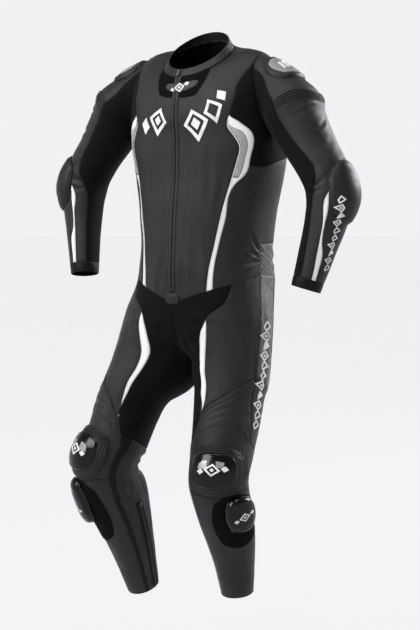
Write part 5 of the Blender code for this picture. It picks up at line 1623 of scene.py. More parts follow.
@dataclass(frozen=True)
class Moulding:
    """A moulded piece that lies on the cloth: a rounded outline about a turn and level, and its heights."""

    node: str
    finish: Finish
    slot: str
    turn: float
    level: float
    half_turn: float
    half_level: float
    lift: float  # of its underside from the cloth, or from the piece that it lies on
    edge: float  # thickness at its edge
    dome: float  # further rise at its middle
    flatness: float = 2.0
    under: Optional["Moulding"] = None
    cells: int = 44
    rim: float = 0.10  # share of its half width over which its edge is rounded
    grooves: tuple = ()  # (reach, width, depth): rings sunk, or raised, at a share of the way to its edge
    fade: float = 0.0  # share by which the rings fade at its lower side
    own: bool = True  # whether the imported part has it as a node

    crowding = 1.35  # how much its cells crowd towards its edge
    dome_power = 0.6
    edge_share = 0.25  # of its thickness that it keeps at its very edge
    map_share = 2.6  # of its length to the size of its UV map

    def heights(self, turn: Array, level: Array) -> tuple[Array, Array]:
        """Heights of its underside and of its top above the cloth."""
        low = self.lift + 0.0 * turn
        if self.under is not None:
            low = low + self.under.heights(turn, level)[1]
        reach = ((turn - self.turn) / self.half_turn) ** 2 + ((level - self.level) / self.half_level) ** 2
        rise = np.clip(1 - reach ** (self.flatness / 2), 0, 1) ** self.dome_power
        return low, low + self.edge + self.dome * rise

    def build(self, form: Form, side: Optional[Side], drape: Drape) -> None:
        """Makes the piece on its form, with a rounded edge and a flat underside."""
        bm = bmesh.new()
        bmesh.ops.create_grid(bm, x_segments=self.cells, y_segments=self.cells, size=1.0)
        square = np.array([vert.co[:2] for vert in bm.verts])
        square = np.sign(square) * (1 - (1 - np.abs(square)) ** self.crowding)
        x, y = round_out(square[:, 0], square[:, 1])
        turn, level = self.turn + x * self.half_turn, self.level + y * self.half_level
        points, out = form.point(turn, level), form.face(turn, level)
        swell = drape.swell(points)
        low, high = (height + swell for height in self.heights(turn, level))
        ring = np.abs(square).max(axis=1)
        edge = np.clip((1 - ring) / self.rim, 0, 1)
        high = low + (high - low) * (self.edge_share + (1 - self.edge_share) * np.sqrt(1 - (1 - edge) ** 2))
        for reach, width, depth in self.grooves:
            fade = 1 - self.fade * np.clip(square[:, 1], 0, 1)
            high = high - depth * fade * np.exp(-(((ring - reach) / width) ** 2))
        mirror = (side or Side.LEFT).mirror
        bottom, top = ((points + out * height[:, None]) * mirror for height in (low, high))
        number = bm.verts.layers.int.new("number")
        bm.verts.layers.float.new("seam")
        seam = bm.verts.layers.float["seam"]
        wide = np.linalg.norm(points.max(axis=0) - points.min(axis=0)) / self.map_share
        for index, vert in enumerate(bm.verts):
            vert.co = top[index]
            vert[number] = index
            vert[seam] = CLEAR_OF_SEAMS
        chart(bm, lambda vert: (x[vert[number]] * wide, y[vert[number]] * wide))
        thicken(bm, lambda vert: Vector(bottom[vert[number]] - top[vert[number]]))
        name = self.node if side is None else f"{self.node}_{side.value}"
        finished(f"{name}_moulding", bm, [self.finish], self.slot, [name] if self.own else ())
        drape.cups[form.name].append(self)


def round_out(x: Array, y: Array) -> tuple[Array, Array]:
    """A square's points moved onto a round outline."""
    return x * np.sqrt(1 - ROUNDNESS * y * y), y * np.sqrt(1 - ROUNDNESS * x * x)


SHOULDER_CUP = Moulding("shoulder_cup", SHELL, "protector_shell", 0.0, 0.48, 0.13, 0.28,
                        0.0010, 0.0020, 0.007,
                        grooves=((0.97, 0.03, 0.0006), (0.84, 0.05, -0.0014)))
SHOULDER_INSERT = Moulding("shoulder_insert", SILVER, "protector_shell", 0.0, 0.48, 0.095, 0.20,
                           -0.0002, 0.0008, 0.0,
                           under=SHOULDER_CUP, cells=30, own=False)
ELBOW_CUP = Moulding("elbow_cup", SHELL, "protector_shell", 0.0, 4.90, 0.17, 1.05,
                     0.0010, 0.0020, 0.013, cells=56,
                     grooves=((0.93, 0.018, 0.0014), (0.86, 0.03, -0.0005)))
KNEE_CUP = Moulding("knee_cup", SHELL, "protector_shell", 0.01, 5.60, 0.19, 0.72,
                    0.0016, 0.0020, 0.010, cells=84,
                    grooves=((0.95, 0.018, 0.0016), (0.86, 0.018, 0.0018), (0.77, 0.018, 0.0018),
                             (0.68, 0.018, 0.0014)),
                    fade=0.55)
KNEE_INSERT = Moulding("knee_insert", GLOSS, "gloss_plastic", -0.01, 5.60, 0.11, 0.48,
                       0.0012, 0.0015, 0.002,
                       under=KNEE_CUP, grooves=((0.9, 0.04, -0.0006),))
SLIDER_BASE = Moulding("slider_base", HOOK, "hook_fabric", 0.09, 7.34, 0.15, 0.97,
                       0.0012, 0.0014, 0.0, 4.0)
KNEE_SLIDER = Moulding("knee_slider", GLOSS, "gloss_plastic", 0.112, 7.09, 0.092, 0.66,
                       0.0005, 0.0060, 0.012, 4.0,
                       under=SLIDER_BASE, rim=0.22, grooves=((0.62, 0.05, 0.0008),))
NECK_BADGE = Moulding("neck_badge", RUBBER, "badge_rubber", 0.018, 0.58, 0.066, 0.25,
                      0.0007, 0.0015, 0.002,
                      grooves=((0.84, 0.05, -0.0006),))
ZIP_COVER = Moulding("zip_cover", CHARCOAL, "charcoal_leather", 0.0, 9.92, 0.018, 0.20,
                     0.0005, 0.0015, 0.003)
BASE_MOVE = {Side.LEFT: (0.0, 0.0), Side.RIGHT: (-0.095, 0.0)}
SLIDER_MOVE = {Side.LEFT: (0.0, 0.0), Side.RIGHT: (-0.082, -0.06)}


def moved(piece: Moulding, move: tuple[float, float]) -> Moulding:
    """The piece, and what it lies on, moved by a turn and a level."""
    under = None if piece.under is None else moved(piece.under, move)
    return replace(piece, turn=piece.turn + move[0], level=piece.level + move[1], under=under)


@dataclass(frozen=True)
class Collar:
    """The stand-up collar: a soft band, open at the zip, with a rolled rim."""

    form: CollarForm
    wall: float = COLLAR_WALL
    around: int = 150
    up: int = 12
    roll: int = 6

    def build(self, drapes: dict[Side, Drape]) -> None:
        """Makes the band from its section, carried round the neck from one side of the zip to the other."""
        start = float(self.form.torso.turn_at(np.array([0.0]), np.array([0.0]))[0])
        turns = np.linspace(start, 1 - start, self.around + 1)
        heights = np.linspace(0.0, 0.97, self.up)
        angles = np.linspace(0.0, math.pi, self.roll + 1)[1:-1]
        top = 0.97 + 0.03 * np.sin(angles)
        inward = (1 - np.cos(angles)) / 2 * self.wall
        height = np.concatenate([heights, top, heights[::-1], heights[:1]])
        depth = np.concatenate([0 * heights, inward, 0 * heights + self.wall, [0.0]])
        turn, height = np.meshgrid(turns, height)
        points = self.form.point(turn, height) - self.form.face(turn, height) * depth[:, None, None]
        rows = len(turn) - 1
        bm = gridded(rows, self.around)
        seam = bm.verts.layers.float.new("seam")
        for vert, (i, j) in spots_of(bm, rows, self.around).items():
            vert.co = points[i, j]
            # Lowest at the neck seam, so the collar's foot gets the leather's dark seam line: partly dirt,
            # partly painted shade.
            vert[seam] = 0.001 + 0.02 * height[i, j]
        bmesh.ops.remove_doubles(bm, verts=bm.verts, dist=WELD)
        bmesh.ops.holes_fill(bm, edges=[edge for edge in bm.edges if edge.is_boundary])
        face_out(bm)
        made = finished("collar_cloth", bm, [NAPPA_COLLAR], "soft_leather", ["collar"])
        self.piping(turns)
        length = float(np.linalg.norm(np.diff(points[self.up // 2], axis=0), axis=-1).sum())

    def piping(self, turns: Array) -> None:
        """Makes the black cord that is sewn into the neck seam."""
        level = 0.05 + 0 * turns
        line = traced(self.form.point(turns, level), self.form.face(turns, level))
        ribbon("neck_piping", line, (-0.0013, 0.0013), 0.0002, 0.0012, NAPPA, "soft_leather")


class Spot(NamedTuple):
    """A place on a line along the cloth: where it is, the way out of the cloth, the way across the line, and
    the share of its full width that what lies on the line has there."""

    point: Vector
    out: Vector
    across: Vector
    share: float = 1.0


def traced(points: Array, outs: Array) -> list[Spot]:
    """A line along the cloth through points whose outward vectors are given."""
    runs = np.gradient(points, axis=0)
    return [
        Spot(Vector(p), Vector(o), Vector(np.cross(o, r)).normalized()) for p, o, r in zip(points, outs, runs)
    ]


def ribbon(name: str, line: Sequence[Spot], edges: tuple[float, float], height: float, wall: float,
           finish: Finish, slot: str, stands_for: Sequence[str] = ()) -> None:
    """Makes a strip along a line, between two distances from it, and domed a little across."""
    rows = len(line) - 1
    bm = gridded(rows, 4)
    out = bm.verts.layers.float_vector.new("out")
    seam = bm.verts.layers.float.new("seam")
    for vert, (row, column) in spots_of(bm, rows, 4).items():
        part, spot = column / 4, line[row]
        dome = RIBBON_DOME * math.sin(math.pi * part)
        along = (edges[0] + (edges[1] - edges[0]) * part) * spot.share
        vert.co = spot.point + spot.across * along + spot.out * (height + dome)
        vert[out] = spot.out
        vert[seam] = RIBBON_SEAM
    chart(bm, lambda vert: (vert.co.x, vert.co.z))
    thicken(bm, lambda vert: -wall * vert[out])
    finished(name, bm, [finish], slot, stands_for)


def zip_teeth(name: str, line: Sequence[Spot], pitch: float, tooth: tuple[float, float, float]) -> None:
    """Makes the two rows of teeth of a closed zip along a line, each tooth between two of the other row."""
    lengths = np.concatenate([[0.0], np.cumsum([(b.point - a.point).length for a, b in zip(line, line[1:])])])
    bm = bmesh.new()
    for number in range(int(lengths[-1] / pitch * 2)):
        at = number * pitch / 2
        k = min(int(np.searchsorted(lengths, at, side="right")) - 1, len(line) - 2)
        part = (at - lengths[k]) / (lengths[k + 1] - lengths[k])
        point, up, across = (a.lerp(b, part) for a, b in zip(line[k][:3], line[k + 1][:3]))
        up.normalize()
        across = (across - up * across.dot(up)).normalized()
        shift = across * (TOOTH_SHIFT if number % 2 else -TOOTH_SHIFT)
        block(bm, point + shift - up * TOOTH_SINK, across, up, tooth)
    finished(name, bm, [COIL], "zip_metal")


@dataclass(frozen=True)
class FrontZip:
    """The closed front zip: its tape, a row of teeth on each side, and a welt of leather along each side."""

    form: TorsoForm
    collar: CollarForm
    rows: int = 120

    def line(self) -> list[Spot]:
        """The middle of the zip, from its upper end on the collar down to its foot."""
        collar_rows = self.rows // 12
        across = Vector((1.0, 0.0, 0.0))
        found = []
        for form, levels in (
            (self.collar, np.linspace(ZIP_TOP, 0.0, collar_rows)[:-1]),
            (self.form, np.linspace(0.0, ZIP_FOOT + 0.8 * ZIP_CLOSE, self.rows - collar_rows)),
        ):
            points, outs = form.point(0 * levels, levels), form.face(0 * levels, levels)
            shares = np.clip((ZIP_FOOT - levels) / ZIP_CLOSE + 1, 0.0, 1.0)
            found += [Spot(Vector(p), Vector(o), across, float(k)) for p, o, k in zip(points, outs, shares)]
        return found

    def build(self) -> None:
        """Makes the tape, the welts and the teeth."""
        line = self.line()
        edge = ZIP_HALF - 0.0003
        ribbon("front_zip_tape", line, (-edge, edge), -0.0012, 0.0006, TAPE, "zip_metal", ["front_zip"])
        for side in Side:
            ribbon(f"zip_welt_{side.value}", line, (0.0021 * side.flip, (edge + 0.0014) * side.flip),
                   0.0005, 0.0012, CHARCOAL, "charcoal_leather")
        deep = [spot._replace(point=spot.point - spot.out * 0.0008) for spot in line]
        zip_teeth("zip_teeth", deep, 0.0026, (0.0034, 0.0014, 0.0012))


@dataclass(frozen=True)
class CalfZip:
    """The short zip that closes a leg's calf: tape, teeth and a welt on each side, on the soft leather."""

    turns: tuple[float, float] = (0.668, 0.655)
    levels: tuple[float, float] = (7.45, 9.92)
    slider: tuple[float, float, float] = (0.0075, 0.011, 0.0032)

    def build(self, side: Side, drape: Drape) -> None:
        """Makes it on one leg."""
        turns, levels = (np.linspace(*ends, 40) for ends in (self.turns, self.levels))
        points, outs = drape.skin("leg", turns, levels)
        line = traced(points * side.mirror, outs * side.mirror)
        name = f"calf_zip_{side.value}"
        ribbon(f"{name}_tape", line, (-0.0045, 0.0045), 0.0008, 0.0010, TAPE, "soft_leather")
        for number, edges in enumerate(((-0.0085, -0.0022), (0.0022, 0.0085))):
            ribbon(f"{name}_welt_{number + 1}", line, edges, 0.0016, 0.0018, NAPPA, "soft_leather")
        zip_teeth(f"{name}_teeth", [spot._replace(point=spot.point + spot.out * 0.0012) for spot in line],
                  0.0028, (0.0038, 0.0014, 0.0012))
        top = line[1]
        bm = bmesh.new()
        block(bm, top.point + top.out * 0.003, top.across, top.out, self.slider)
        bmesh.ops.bevel(bm, geom=bm.edges, offset=0.0009, segments=3, affect="EDGES")
        finished(f"{name}_slider", bm, [GUNMETAL], "zip_metal")


Shape = tuple[tuple[float, float], ...]


def bar(x: float, y: float, width: float, height: float, slant: float) -> list[Shape]:
    """A slanted bar: its lower left corner, size and how far its top leans right. Millimetres, y down."""
    return [((x, y), (x + width, y), (x + width + slant, y - height), (x + slant, y - height))]


def ring(corners: Shape, line: float) -> list[Shape]:
    """A shape of four corners, given clockwise, drawn as an outline of this width."""
    points = np.array(corners, float)
    runs = unit(np.roll(points, -1, axis=0) - points)
    inward = np.stack([-runs[:, 1], runs[:, 0]], -1)
    inner = []
    for k in range(4):
        before, after = inward[k - 1], inward[k]
        middle = unit(before + after)
        inner.append(points[k] + middle * (line / max(0.3, float(np.dot(middle, after)))))
    return [(points[k], points[(k + 1) % 4], inner[(k + 1) % 4], inner[k]) for k in range(4)]


def scaled(shapes: Sequence[Shape], scale: float) -> list[Shape]:
    """The shapes at another size."""
    return [tuple((x * scale, y * scale) for x, y in shape) for shape in shapes]


@dataclass(frozen=True)
class Print:
    """Thin film on the cloth or a moulded piece: shapes of four corners, in millimetres from its middle."""

    name: str
    form: str
    turn: float
    level: float
    shapes: Sequence[Shape]
    angle: float = 0.0  # degrees clockwise
    finish: Finish = MARK_WHITE
    slot: str = "white_leather"
    height: float = 0.0005

    def build(self, side: Side, drape: Drape) -> None:
        """Lays the shapes on one side's outermost surface."""
        form = drape.forms[self.form]
        turn, level = np.array([self.turn]), np.array([self.level])
        step = 0.01
        along = (form.point(turn + step, level) - form.point(turn - step, level))[0] / (2 * step)
        down = (form.point(turn, level + step) - form.point(turn, level - step))[0] / (2 * step)
        right = unit(along) * form.turned
        below = unit(down - right * np.dot(down, right))
        solve = np.linalg.inv([[np.dot(along, right), np.dot(down, right)],
                               [np.dot(along, below), np.dot(down, below)]])
        cosine, sine = math.cos(math.radians(self.angle)), math.sin(math.radians(self.angle))
        bm = bmesh.new()
        depth = bm.verts.layers.float_vector.new("out")
        for shape in self.shapes:
            made = bmesh.ops.create_grid(bm, x_segments=9, y_segments=4, size=0.5)["verts"]
            part = np.array([vert.co[:2] for vert in made]) + 0.5
            corners = np.array(shape)
            low, high = (corners[a] + (corners[b] - corners[a]) * part[:, :1] for a, b in ((0, 1), (3, 2)))
            x, y = ((low + (high - low) * part[:, 1:]) / 1000).T
            moves = solve @ np.stack([x * cosine - y * sine, x * sine + y * cosine])
            points, outs = drape.skin(self.form, self.turn + moves[0], self.level + moves[1])
            for vert, point, out in zip(
                made, (points + outs * self.height) * side.mirror, outs * side.mirror
            ):
                vert.co = point
                vert[depth] = out
        thicken(bm, lambda vert: -(self.height + 0.0004) * vert[depth])
        finished(f"{self.name}_{side.value}", bm, [self.finish], self.slot)


@dataclass(frozen=True)
class PrintRow:
    """A row of uneven lozenges, one below another, from one place on a form to another."""

    name: str
    form: str
    start: tuple[float, float]
    end: tuple[float, float]
    count: int
    width: float
    height: float
    line: float

    samples = 60  # points by which its length is measured
    widths = (0.75, 1.0, 0.6, 1.0, 0.85)  # of its lozenges in turn, as shares of the row's width
    leans = (0.2, -0.35, 0.5, -0.1, 0.35)
    solid = 2  # which of them is filled
    cored = (1, 3)  # and which hold a small one

    def build(self, side: Side, drape: Drape) -> None:
        """Makes the row as one print for each of its shapes, evenly spaced along the cloth."""
        turns, levels = (np.linspace(*ends, self.samples) for ends in zip(self.start, self.end))
        steps = np.linalg.norm(np.diff(drape.forms[self.form].point(turns, levels), axis=0), axis=-1)
        runs = np.concatenate([[0.0], steps.cumsum()])
        part = np.interp(np.linspace(0, runs[-1], self.count), runs, np.linspace(0, 1, self.samples))
        half, tall = self.width / 2, self.height / 2
        for number, share in enumerate(part):
            kind = number % len(self.widths)
            wide = half * self.widths[kind]
            lean = self.leans[kind] * wide
            corners = ((lean - wide, 0.1 * tall), (-0.4 * lean, -tall), (wide + lean, -0.2 * tall),
                       (-lean, tall))
            shapes = [corners] if kind == self.solid else ring(corners, self.line)
            if kind in self.cored:
                shapes = shapes + scaled([corners], 0.3)
            turn, level = (start + (end - start) * share for start, end in zip(self.start, self.end))
            Print(f"{self.name}_{number + 1}", self.form, turn, level, shapes).build(side, drape)


@dataclass(frozen=True)
class Inlay:
    """The pale grey piece of leather laid on the inner half of a chest blade."""

    rows: tuple[float, float] = (11.9, 18.7)
    share: float = 0.48  # of the blade's width that it covers
    wall: float = 0.0011
    inset: float = 0.07  # of the blade's width between it and the seam

    fine = 40  # columns in which the blade is read
    taper = 1.6  # rows over which it widens from its tip
    ends = 12  # rows over which its ends thin out
    thin = (0.45, 0.12)  # share of its height at its edge, and of its width over which that rises
    depth = 0.0013

    def build(self, side: Side, drape: Drape) -> None:
        """Lays it on one blade."""
        count, across = 70, 10
        rows = np.linspace(*self.rows, count)
        net = drape.forms["torso"].net(rows, np.linspace(5.0, 6.0, self.fine + 1))
        taper = self.share * eased((rows - rows[0]) / self.taper)
        bm = gridded(count - 1, across)
        seam = bm.verts.layers.float.new("seam")
        depth = bm.verts.layers.float_vector.new("out")
        spots = [(row, column / across) for row, column in spots_of(bm, count - 1, across).values()]
        where = [(i, (self.inset + part * taper[i]) * self.fine) for i, part in spots]
        points, outs = (
            np.array([grid[i, int(c)] * (1 - c % 1) + grid[i, int(c) + 1] * (c % 1) for i, c in where])
            for grid in (net.points, net.out)
        )
        rise = drape.relief(points, outs)
        for vert, (i, part), point, out, up in zip(bm.verts, spots, points, outs, rise):
            edge = min(part, 1 - part, i / self.ends, (count - 1 - i) / self.ends)
            height = self.wall * (self.thin[0] + (1 - self.thin[0]) * min(1.0, edge / self.thin[1]))
            vert.co = Vector((point + out * (up + height)) * side.mirror)
            vert[depth] = Vector(out * side.mirror)
            # Lowest at its edges, which so get the leather's dark seam line: partly dirt, partly painted
            # shade.
            vert[seam] = edge * 0.012
        thicken(bm, lambda vert: -self.depth * vert[depth])
        finished(f"chest_inlay_{side.value}", bm, [INLAY], "white_leather")


@dataclass(frozen=True)
class Lamp:
    """A soft box aimed at the suit: where it stands, its size in metres and its power in watts."""

    name: str
    azimuth: float
    elevation: float
    distance: float
    size: float
    power: float


@dataclass(frozen=True)
class Studio:
    """The camera, the floor and plain soft light."""

    azimuth: float = 35.0
    elevation: float = 7.0
    distance: float = 3.6
    target: tuple[float, float, float] = (0.0056, 0.004, -0.575)
    lens: float = 90.2
    floor: float = -1.40
    floor_radius: float = 14.0
    lamps: tuple[Lamp, ...] = (
        Lamp("key", -24.0, 36.0, 3.4, 1.8, 105.0),
        Lamp("rim", 160.0, 22.0, 3.2, 1.2, 90.0),
        Lamp("top", 30.0, 78.0, 2.6, 1.2, 26.0),
    )

    def spot(self, azimuth: float, elevation: float, distance: float) -> Vector:
        """The place at this direction and distance from what the camera looks at."""
        turn, rise = math.radians(azimuth), math.radians(elevation)
        way = Vector((math.sin(turn) * math.cos(rise), -math.cos(turn) * math.cos(rise), math.sin(rise)))
        return Vector(self.target) + way * distance

    def aimed(self, name: str, data: bpy.types.ID, place: Vector) -> bpy.types.Object:
        """A lamp or camera at a place, looking at the suit."""
        made = bpy.data.objects.new(name, data)
        made.location = place
        made.rotation_euler = (Vector(self.target) - place).to_track_quat("-Z", "Y").to_euler()
        bpy.context.scene.collection.objects.link(made)
        return made

    def build(self) -> None:
        """Sets up the camera, the lamps, the pale surroundings and the floor."""
        scene = bpy.context.scene
        lens = bpy.data.cameras.new("camera")
        lens.sensor_fit = "VERTICAL"
        lens.sensor_height = 36.0
        lens.lens = self.lens
        scene.camera = self.aimed("camera", lens, self.spot(self.azimuth, self.elevation, self.distance))
        for lamp in self.lamps:
            light = bpy.data.lights.new(lamp.name, "AREA")
            light.size = lamp.size
            light.energy = lamp.power
            self.aimed(lamp.name, light, self.spot(lamp.azimuth, lamp.elevation, lamp.distance))
        world = bpy.data.worlds.new("pale_room")
        world.use_nodes = True
        tree = world.node_tree
        place = add_node(tree, "TexCoord").outputs["Generated"]
        height = add_node(tree, "SeparateXYZ", links={0: place}).outputs["Z"]
        pale = mixed(tree, ranged(tree, height, 0.16, 0.42), linear("#f0f1f3"), linear("#8e8f92"))
        tree.links.new(pale, tree.nodes["Background"].inputs["Color"])
        scene.world = world
        scene.view_settings.view_transform = "Standard"
        bm = bmesh.new()
        bmesh.ops.create_circle(bm, cap_ends=True, segments=64, radius=self.floor_radius)
        bmesh.ops.translate(bm, verts=bm.verts, vec=(0.0, 0.0, self.floor))
        mesh = bpy.data.meshes.new("floor")
        bm.to_mesh(mesh)
        bm.free()
        mesh.materials.append(FLOOR.material())
        floor = bpy.data.objects.new("floor", mesh)
        scene.collection.objects.link(floor)


FLOOR = Plain("painted_floor_pale", "#3c3c3d", 0.9, specular=0.0, glow="#ecedef")
# Creases by side and form: turn, level, end turn, end level, bow, width and depth.
CREASES = {
    Side.LEFT: {
        # Front: soft upright hollows beside the zip and on the chest, and folds gathered at the waist.
        "torso": (
            (0.034, 2.1, 0.036, 9.2, 0.0, 4.5, 0.9), (0.026, 8.3, 0.034, 10.1, 0.0, 7.0, 2.2),
            (0.07, 4.6, 0.077, 6.8, 0.1, 9.0, 1.5), (0.106, 5.6, 0.1, 7.4, 0.0, 7.0, 1.1),
            (0.06, 7.4, 0.066, 9.6, 0.0, 10.0, 1.3), (0.185, 7.55, 0.24, 8.25, 0.1, 4.5, 3.2),
            (0.172, 8.75, 0.232, 8.5, -0.1, 5.5, 3.4), (0.19, 8.15, 0.24, 8.42, 0.05, 4.0, 2.6),
            (0.15, 8.3, 0.205, 8.02, 0.08, 8.0, 1.9), (0.18, 9.3, 0.235, 8.85, 0.0, 6.0, 1.8),
            # Back: pulls from the arms, and folds across the waist.
            (0.31, 8.0, 0.4, 8.2, 0.12, 8.0, 2.8), (0.285, 8.65, 0.375, 8.45, 0.06, 6.5, 2.4),
            (0.33, 9.1, 0.44, 9.0, 0.1, 9.0, 2.2), (0.33, 3.6, 0.405, 4.9, 0.2, 11.0, 2.2),
            (0.35, 2.6, 0.44, 3.1, 0.25, 10.0, 1.6), (0.44, 5.6, 0.45, 7.6, 0.0, 12.0, 1.4),
        ),
        # Sleeve: a raised pull and a smiling fold below the ribs, and folds inside the elbow and the armpit.
        "sleeve": (
            (0.175, 1.84, -0.02, 1.7, -0.05, 2.6, -1.5), (0.18, 2.0, -0.015, 1.86, -0.05, 4.0, 2.4),
            (0.165, 2.16, -0.025, 2.16, 0.42, 5.0, 3.2), (0.12, 3.1, 0.0, 2.95, 0.2, 8.0, 1.6),
            (0.29, 3.3, 0.175, 3.95, 0.1, 7.0, 1.8), (0.34, 4.25, 0.205, 4.45, 0.1, 6.0, 2.4),
            (0.36, 4.75, 0.225, 4.75, 0.08, 5.0, 2.2), (0.4, 3.9, 0.27, 4.1, 0.1, 7.0, 2.0),
            (0.23, 5.2, 0.215, 7.0, 0.0, 8.0, 1.3), (0.43, 0.8, 0.33, 1.7, 0.1, 9.0, 2.6),
            (0.54, 1.0, 0.42, 1.55, 0.15, 8.0, 2.2), (0.69, 2.4, 0.86, 2.3, 0.2, 7.0, 2.2),
            (0.76, 3.2, 0.88, 3.45, 0.1, 8.0, 1.7), (0.74, 6.1, 0.79, 7.2, 0.0, 7.0, 1.4),
        ),
        # Leg: pulls along the side seam, folds beside and below the knee, and folds behind it.
        "leg": (
            (0.158, 1.4, 0.188, 2.45, 0.0, 6.5, 2.4), (0.176, 2.2, 0.12, 3.3, 0.0, 7.5, 1.8),
            (0.12, 4.28, 0.184, 4.66, -0.1, 3.4, 2.0), (0.06, 4.42, 0.178, 4.86, -0.18, 3.6, 1.8),
            (0.06, 0.35, 0.12, 1.2, 0.0, 12.0, 1.4), (0.02, 2.6, 0.06, 3.6, 0.0, 12.0, 1.4),
            (-0.2, 0.7, -0.11, 1.9, 0.0, 9.0, 2.4), (-0.17, 0.5, -0.04, 0.9, 0.1, 7.0, 1.8),
            (-0.095, 9.06, 0.07, 9.22, 0.05, 3.4, 2.0), (-0.08, 9.3, 0.045, 9.36, 0.05, 3.0, 1.4),
            (-0.06, 8.1, 0.02, 8.5, 0.0, 9.0, 1.2), (0.215, 0.6, 0.232, 1.9, 0.0, 8.0, 2.2),
            (0.255, 1.2, 0.24, 2.6, 0.0, 7.0, 1.8), (0.36, 1.9, 0.6, 2.3, 0.4, 10.0, 3.0),
            (0.42, 2.75, 0.6, 2.95, 0.2, 9.0, 2.2), (0.44, 4.95, 0.62, 5.1, 0.2, 8.0, 3.0),
            (0.4, 5.5, 0.59, 5.6, 0.2, 7.0, 2.6), (0.47, 6.1, 0.62, 6.0, 0.15, 7.0, 2.2),
            (0.41, 7.2, 0.44, 8.8, 0.0, 9.0, 1.6),
        ),
    },
    Side.RIGHT: {
        "torso": (
            (0.03, 2.3, 0.032, 9.0, 0.0, 5.0, 0.8), (0.024, 8.0, 0.04, 10.0, 0.0, 8.0, 2.6),
            (0.074, 5.0, 0.068, 6.7, 0.1, 8.0, 1.4), (0.052, 6.6, 0.06, 8.9, 0.0, 10.0, 1.2),
            (0.165, 7.9, 0.236, 8.4, 0.12, 5.0, 3.0), (0.18, 8.95, 0.238, 8.62, -0.1, 6.0, 2.8),
            (0.3, 8.2, 0.41, 8.3, 0.1, 9.0, 2.6), (0.29, 8.8, 0.39, 8.7, 0.05, 6.0, 2.2),
            (0.34, 9.35, 0.43, 9.2, 0.1, 8.0, 1.8), (0.325, 3.9, 0.395, 5.3, 0.2, 10.0, 2.0),
            (0.34, 2.9, 0.43, 3.6, 0.2, 11.0, 1.7),
        ),
        "sleeve": (
            (0.2, 1.8, 0.01, 1.74, -0.04, 2.8, -1.2), (0.2, 1.95, 0.01, 1.9, -0.04, 4.0, 2.0),
            (0.19, 2.5, 0.02, 2.3, 0.35, 6.0, 2.6), (0.28, 3.6, 0.16, 4.05, 0.1, 7.0, 2.0),
            (0.35, 4.4, 0.23, 4.55, 0.1, 6.0, 2.6), (0.37, 4.95, 0.24, 4.9, 0.1, 5.0, 2.0),
            (0.235, 5.3, 0.245, 6.9, 0.0, 6.0, 1.6), (0.44, 0.7, 0.34, 1.5, 0.1, 9.0, 2.4),
            (0.52, 1.2, 0.41, 1.8, 0.15, 8.0, 2.0), (0.7, 2.1, 0.85, 2.2, 0.2, 7.0, 2.0),
            (0.75, 5.9, 0.8, 7.0, 0.0, 7.0, 1.5),
        ),
        "leg": (
            (0.02, 1.1, 0.01, 2.6, 0.0, 11.0, 1.6), (-0.06, 3.4, 0.02, 4.05, 0.0, 8.0, 1.6),
            (-0.045, 4.52, -0.12, 4.98, -0.1, 3.4, 1.8), (-0.07, 4.36, -0.15, 4.86, -0.1, 3.4, 1.4),
            (-0.25, 0.8, -0.15, 2.0, 0.0, 9.0, 2.4), (-0.17, 0.5, -0.05, 0.8, 0.1, 7.0, 1.6),
            (-0.16, 6.6, -0.2, 8.2, 0.0, 9.0, 1.6), (0.7, 6.2, 0.672, 7.35, 0.0, 5.0, 2.8),
            (0.735, 5.9, 0.715, 7.6, 0.0, 7.0, 2.2), (0.69, 7.8, 0.7, 9.3, 0.0, 6.0, 1.6),
            (-0.1, 9.2, 0.05, 9.3, 0.05, 4.0, 1.6), (0.37, 2.1, 0.6, 2.4, 0.4, 10.0, 2.8),
            (0.43, 3.0, 0.6, 3.05, 0.2, 9.0, 2.0), (0.43, 5.0, 0.64, 5.2, 0.2, 8.0, 3.2),
            (0.41, 5.6, 0.61, 5.65, 0.2, 7.0, 2.8), (0.46, 6.2, 0.6, 6.15, 0.15, 7.0, 2.0),
            (0.42, 7.4, 0.45, 8.9, 0.0, 9.0, 1.5),
        ),
    },
}


def lozenge(x: float, y: float, width: float, height: float) -> Shape:
    """A lozenge by its middle and size."""
    return ((x - width / 2, y), (x, y - height / 2), (x + width / 2, y), (x, y + height / 2))


# The generic motif: a rising row of lozenges, the larger ones drawn as outlines. The chest's zip parts it.
CHEST_LEFT = (ring(lozenge(-24, 8, 62, 74), 7.5) + [lozenge(-24, 8, 24, 29)]
              + ring(lozenge(24, -8, 46, 54), 6.5) + [lozenge(56, -26, 26, 28)])
CHEST_RIGHT = ring(lozenge(-4, 2, 52, 62), 7.0) + [lozenge(-4, 2, 18, 22), lozenge(34, 20, 26, 28)]
TRIO = ([lozenge(-23, 5, 13, 12)] + ring(lozenge(-2, 0, 30, 26), 3.4)
        + [lozenge(20, -5, 15, 13), lozenge(-2, 0, 9, 8)])
SHOULDER_MARKS = bar(-24, 12, 7, 24, 8) + bar(-12, 12, 12, 24, 8) + bar(5, 9, 6, 17, 6) + bar(16, 6, 4, 10, 3)
PATCHES = [((-27, -13), (-21, -18), (-11, -20), (-12, -3)), ((-27, -13), (-12, -3), (-12, -2), (-29, -3)),
           ((4, -19), (19, -17), (18, -6), (5, -5))]


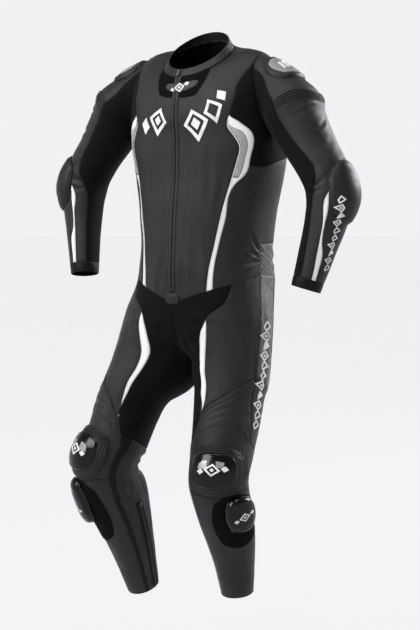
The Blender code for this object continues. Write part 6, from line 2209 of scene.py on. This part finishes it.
def prints(side: Side) -> list:
    """The printed motifs of one side."""
    chest = (0.066, 3.12, CHEST_LEFT) if side is Side.LEFT else (0.044, 3.05, CHEST_RIGHT)
    slider = moved(KNEE_SLIDER, SLIDER_MOVE[side])
    twist = SLEEVE_TWIST[side.value]
    place = (KNEE_INSERT.turn, KNEE_INSERT.level)
    return [
        Print("chest_motif", "torso", *chest),
        Print("shoulder_motif", "sleeve", float(curve(twist, 0.48)), 0.48, SHOULDER_MARKS, -8.0),
        Print("knee_patch", "leg", *place, PATCHES, finish=SILVER_PATCH, slot="gloss_plastic", height=0.0004),
        Print("knee_motif", "leg", *place, TRIO, 6.0, height=0.0009, slot="gloss_plastic"),
        Print("slider_motif", "leg", slider.turn, slider.level, scaled(TRIO, 0.74), slot="gloss_plastic"),
        PrintRow("forearm_row", "sleeve", (0.105, 5.20), (0.020, 7.25), 10, 21.0, 17.0, 2.6),
        PrintRow("thigh_row", "leg", (0.238, 1.00), (0.214, 4.20), 11, 38.0, 24.0, 3.6),
    ]


def main() -> None:
    """Builds the suit piece by piece, dresses it and sets up the studio."""
    logging.basicConfig(level=logging.INFO, format="%(message)s")
    torso = TorsoForm()
    collar = CollarForm(torso)
    drapes = {}
    sleeves = {side: SleeveForm(side, torso) for side in Side}
    legs = {side: LegForm(side, torso) for side in Side}
    for side in Side:
        forms = {"torso": torso, "sleeve": sleeves[side], "leg": legs[side]}
        drapes[side] = Drape(side, forms)
    Torso(torso).build(drapes)
    Collar(collar).build(drapes)
    FrontZip(torso, collar).build()
    NECK_BADGE.build(torso, None, drapes[Side.LEFT])
    ZIP_COVER.build(torso, None, drapes[Side.LEFT])
    marks = scaled(TRIO, 0.84)
    Print("badge_motif", "torso", NECK_BADGE.turn, NECK_BADGE.level, marks, -4.0).build(
        Side.LEFT, drapes[Side.LEFT])
    for side in Side:
        drape = drapes[side]
        Sleeve(sleeves[side]).build(drape)
        Leg(legs[side]).build(drape)
        Inlay().build(side, drape)
        CalfZip().build(side, drape)
        for cup in (SHOULDER_CUP, SHOULDER_INSERT, ELBOW_CUP):
            twist = float(curve(SLEEVE_TWIST[side.value], cup.level))
            moved(cup, (twist, 0.0)).build(sleeves[side], side, drape)
        for cup, move in ((KNEE_CUP, (0.0, 0.0)), (KNEE_INSERT, (0.0, 0.0)), (SLIDER_BASE, BASE_MOVE[side]),
                          (KNEE_SLIDER, SLIDER_MOVE[side])):
            moved(cup, move).build(legs[side], side, drape)
        for piece in prints(side):
            piece.build(side, drape)
    for name in ("zip_slider", "zip_pull"):
        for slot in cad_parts[name].material_slots:
            slot.material = GUNMETAL.material()
    Studio().build()


if __name__ == "__main__":
    main()
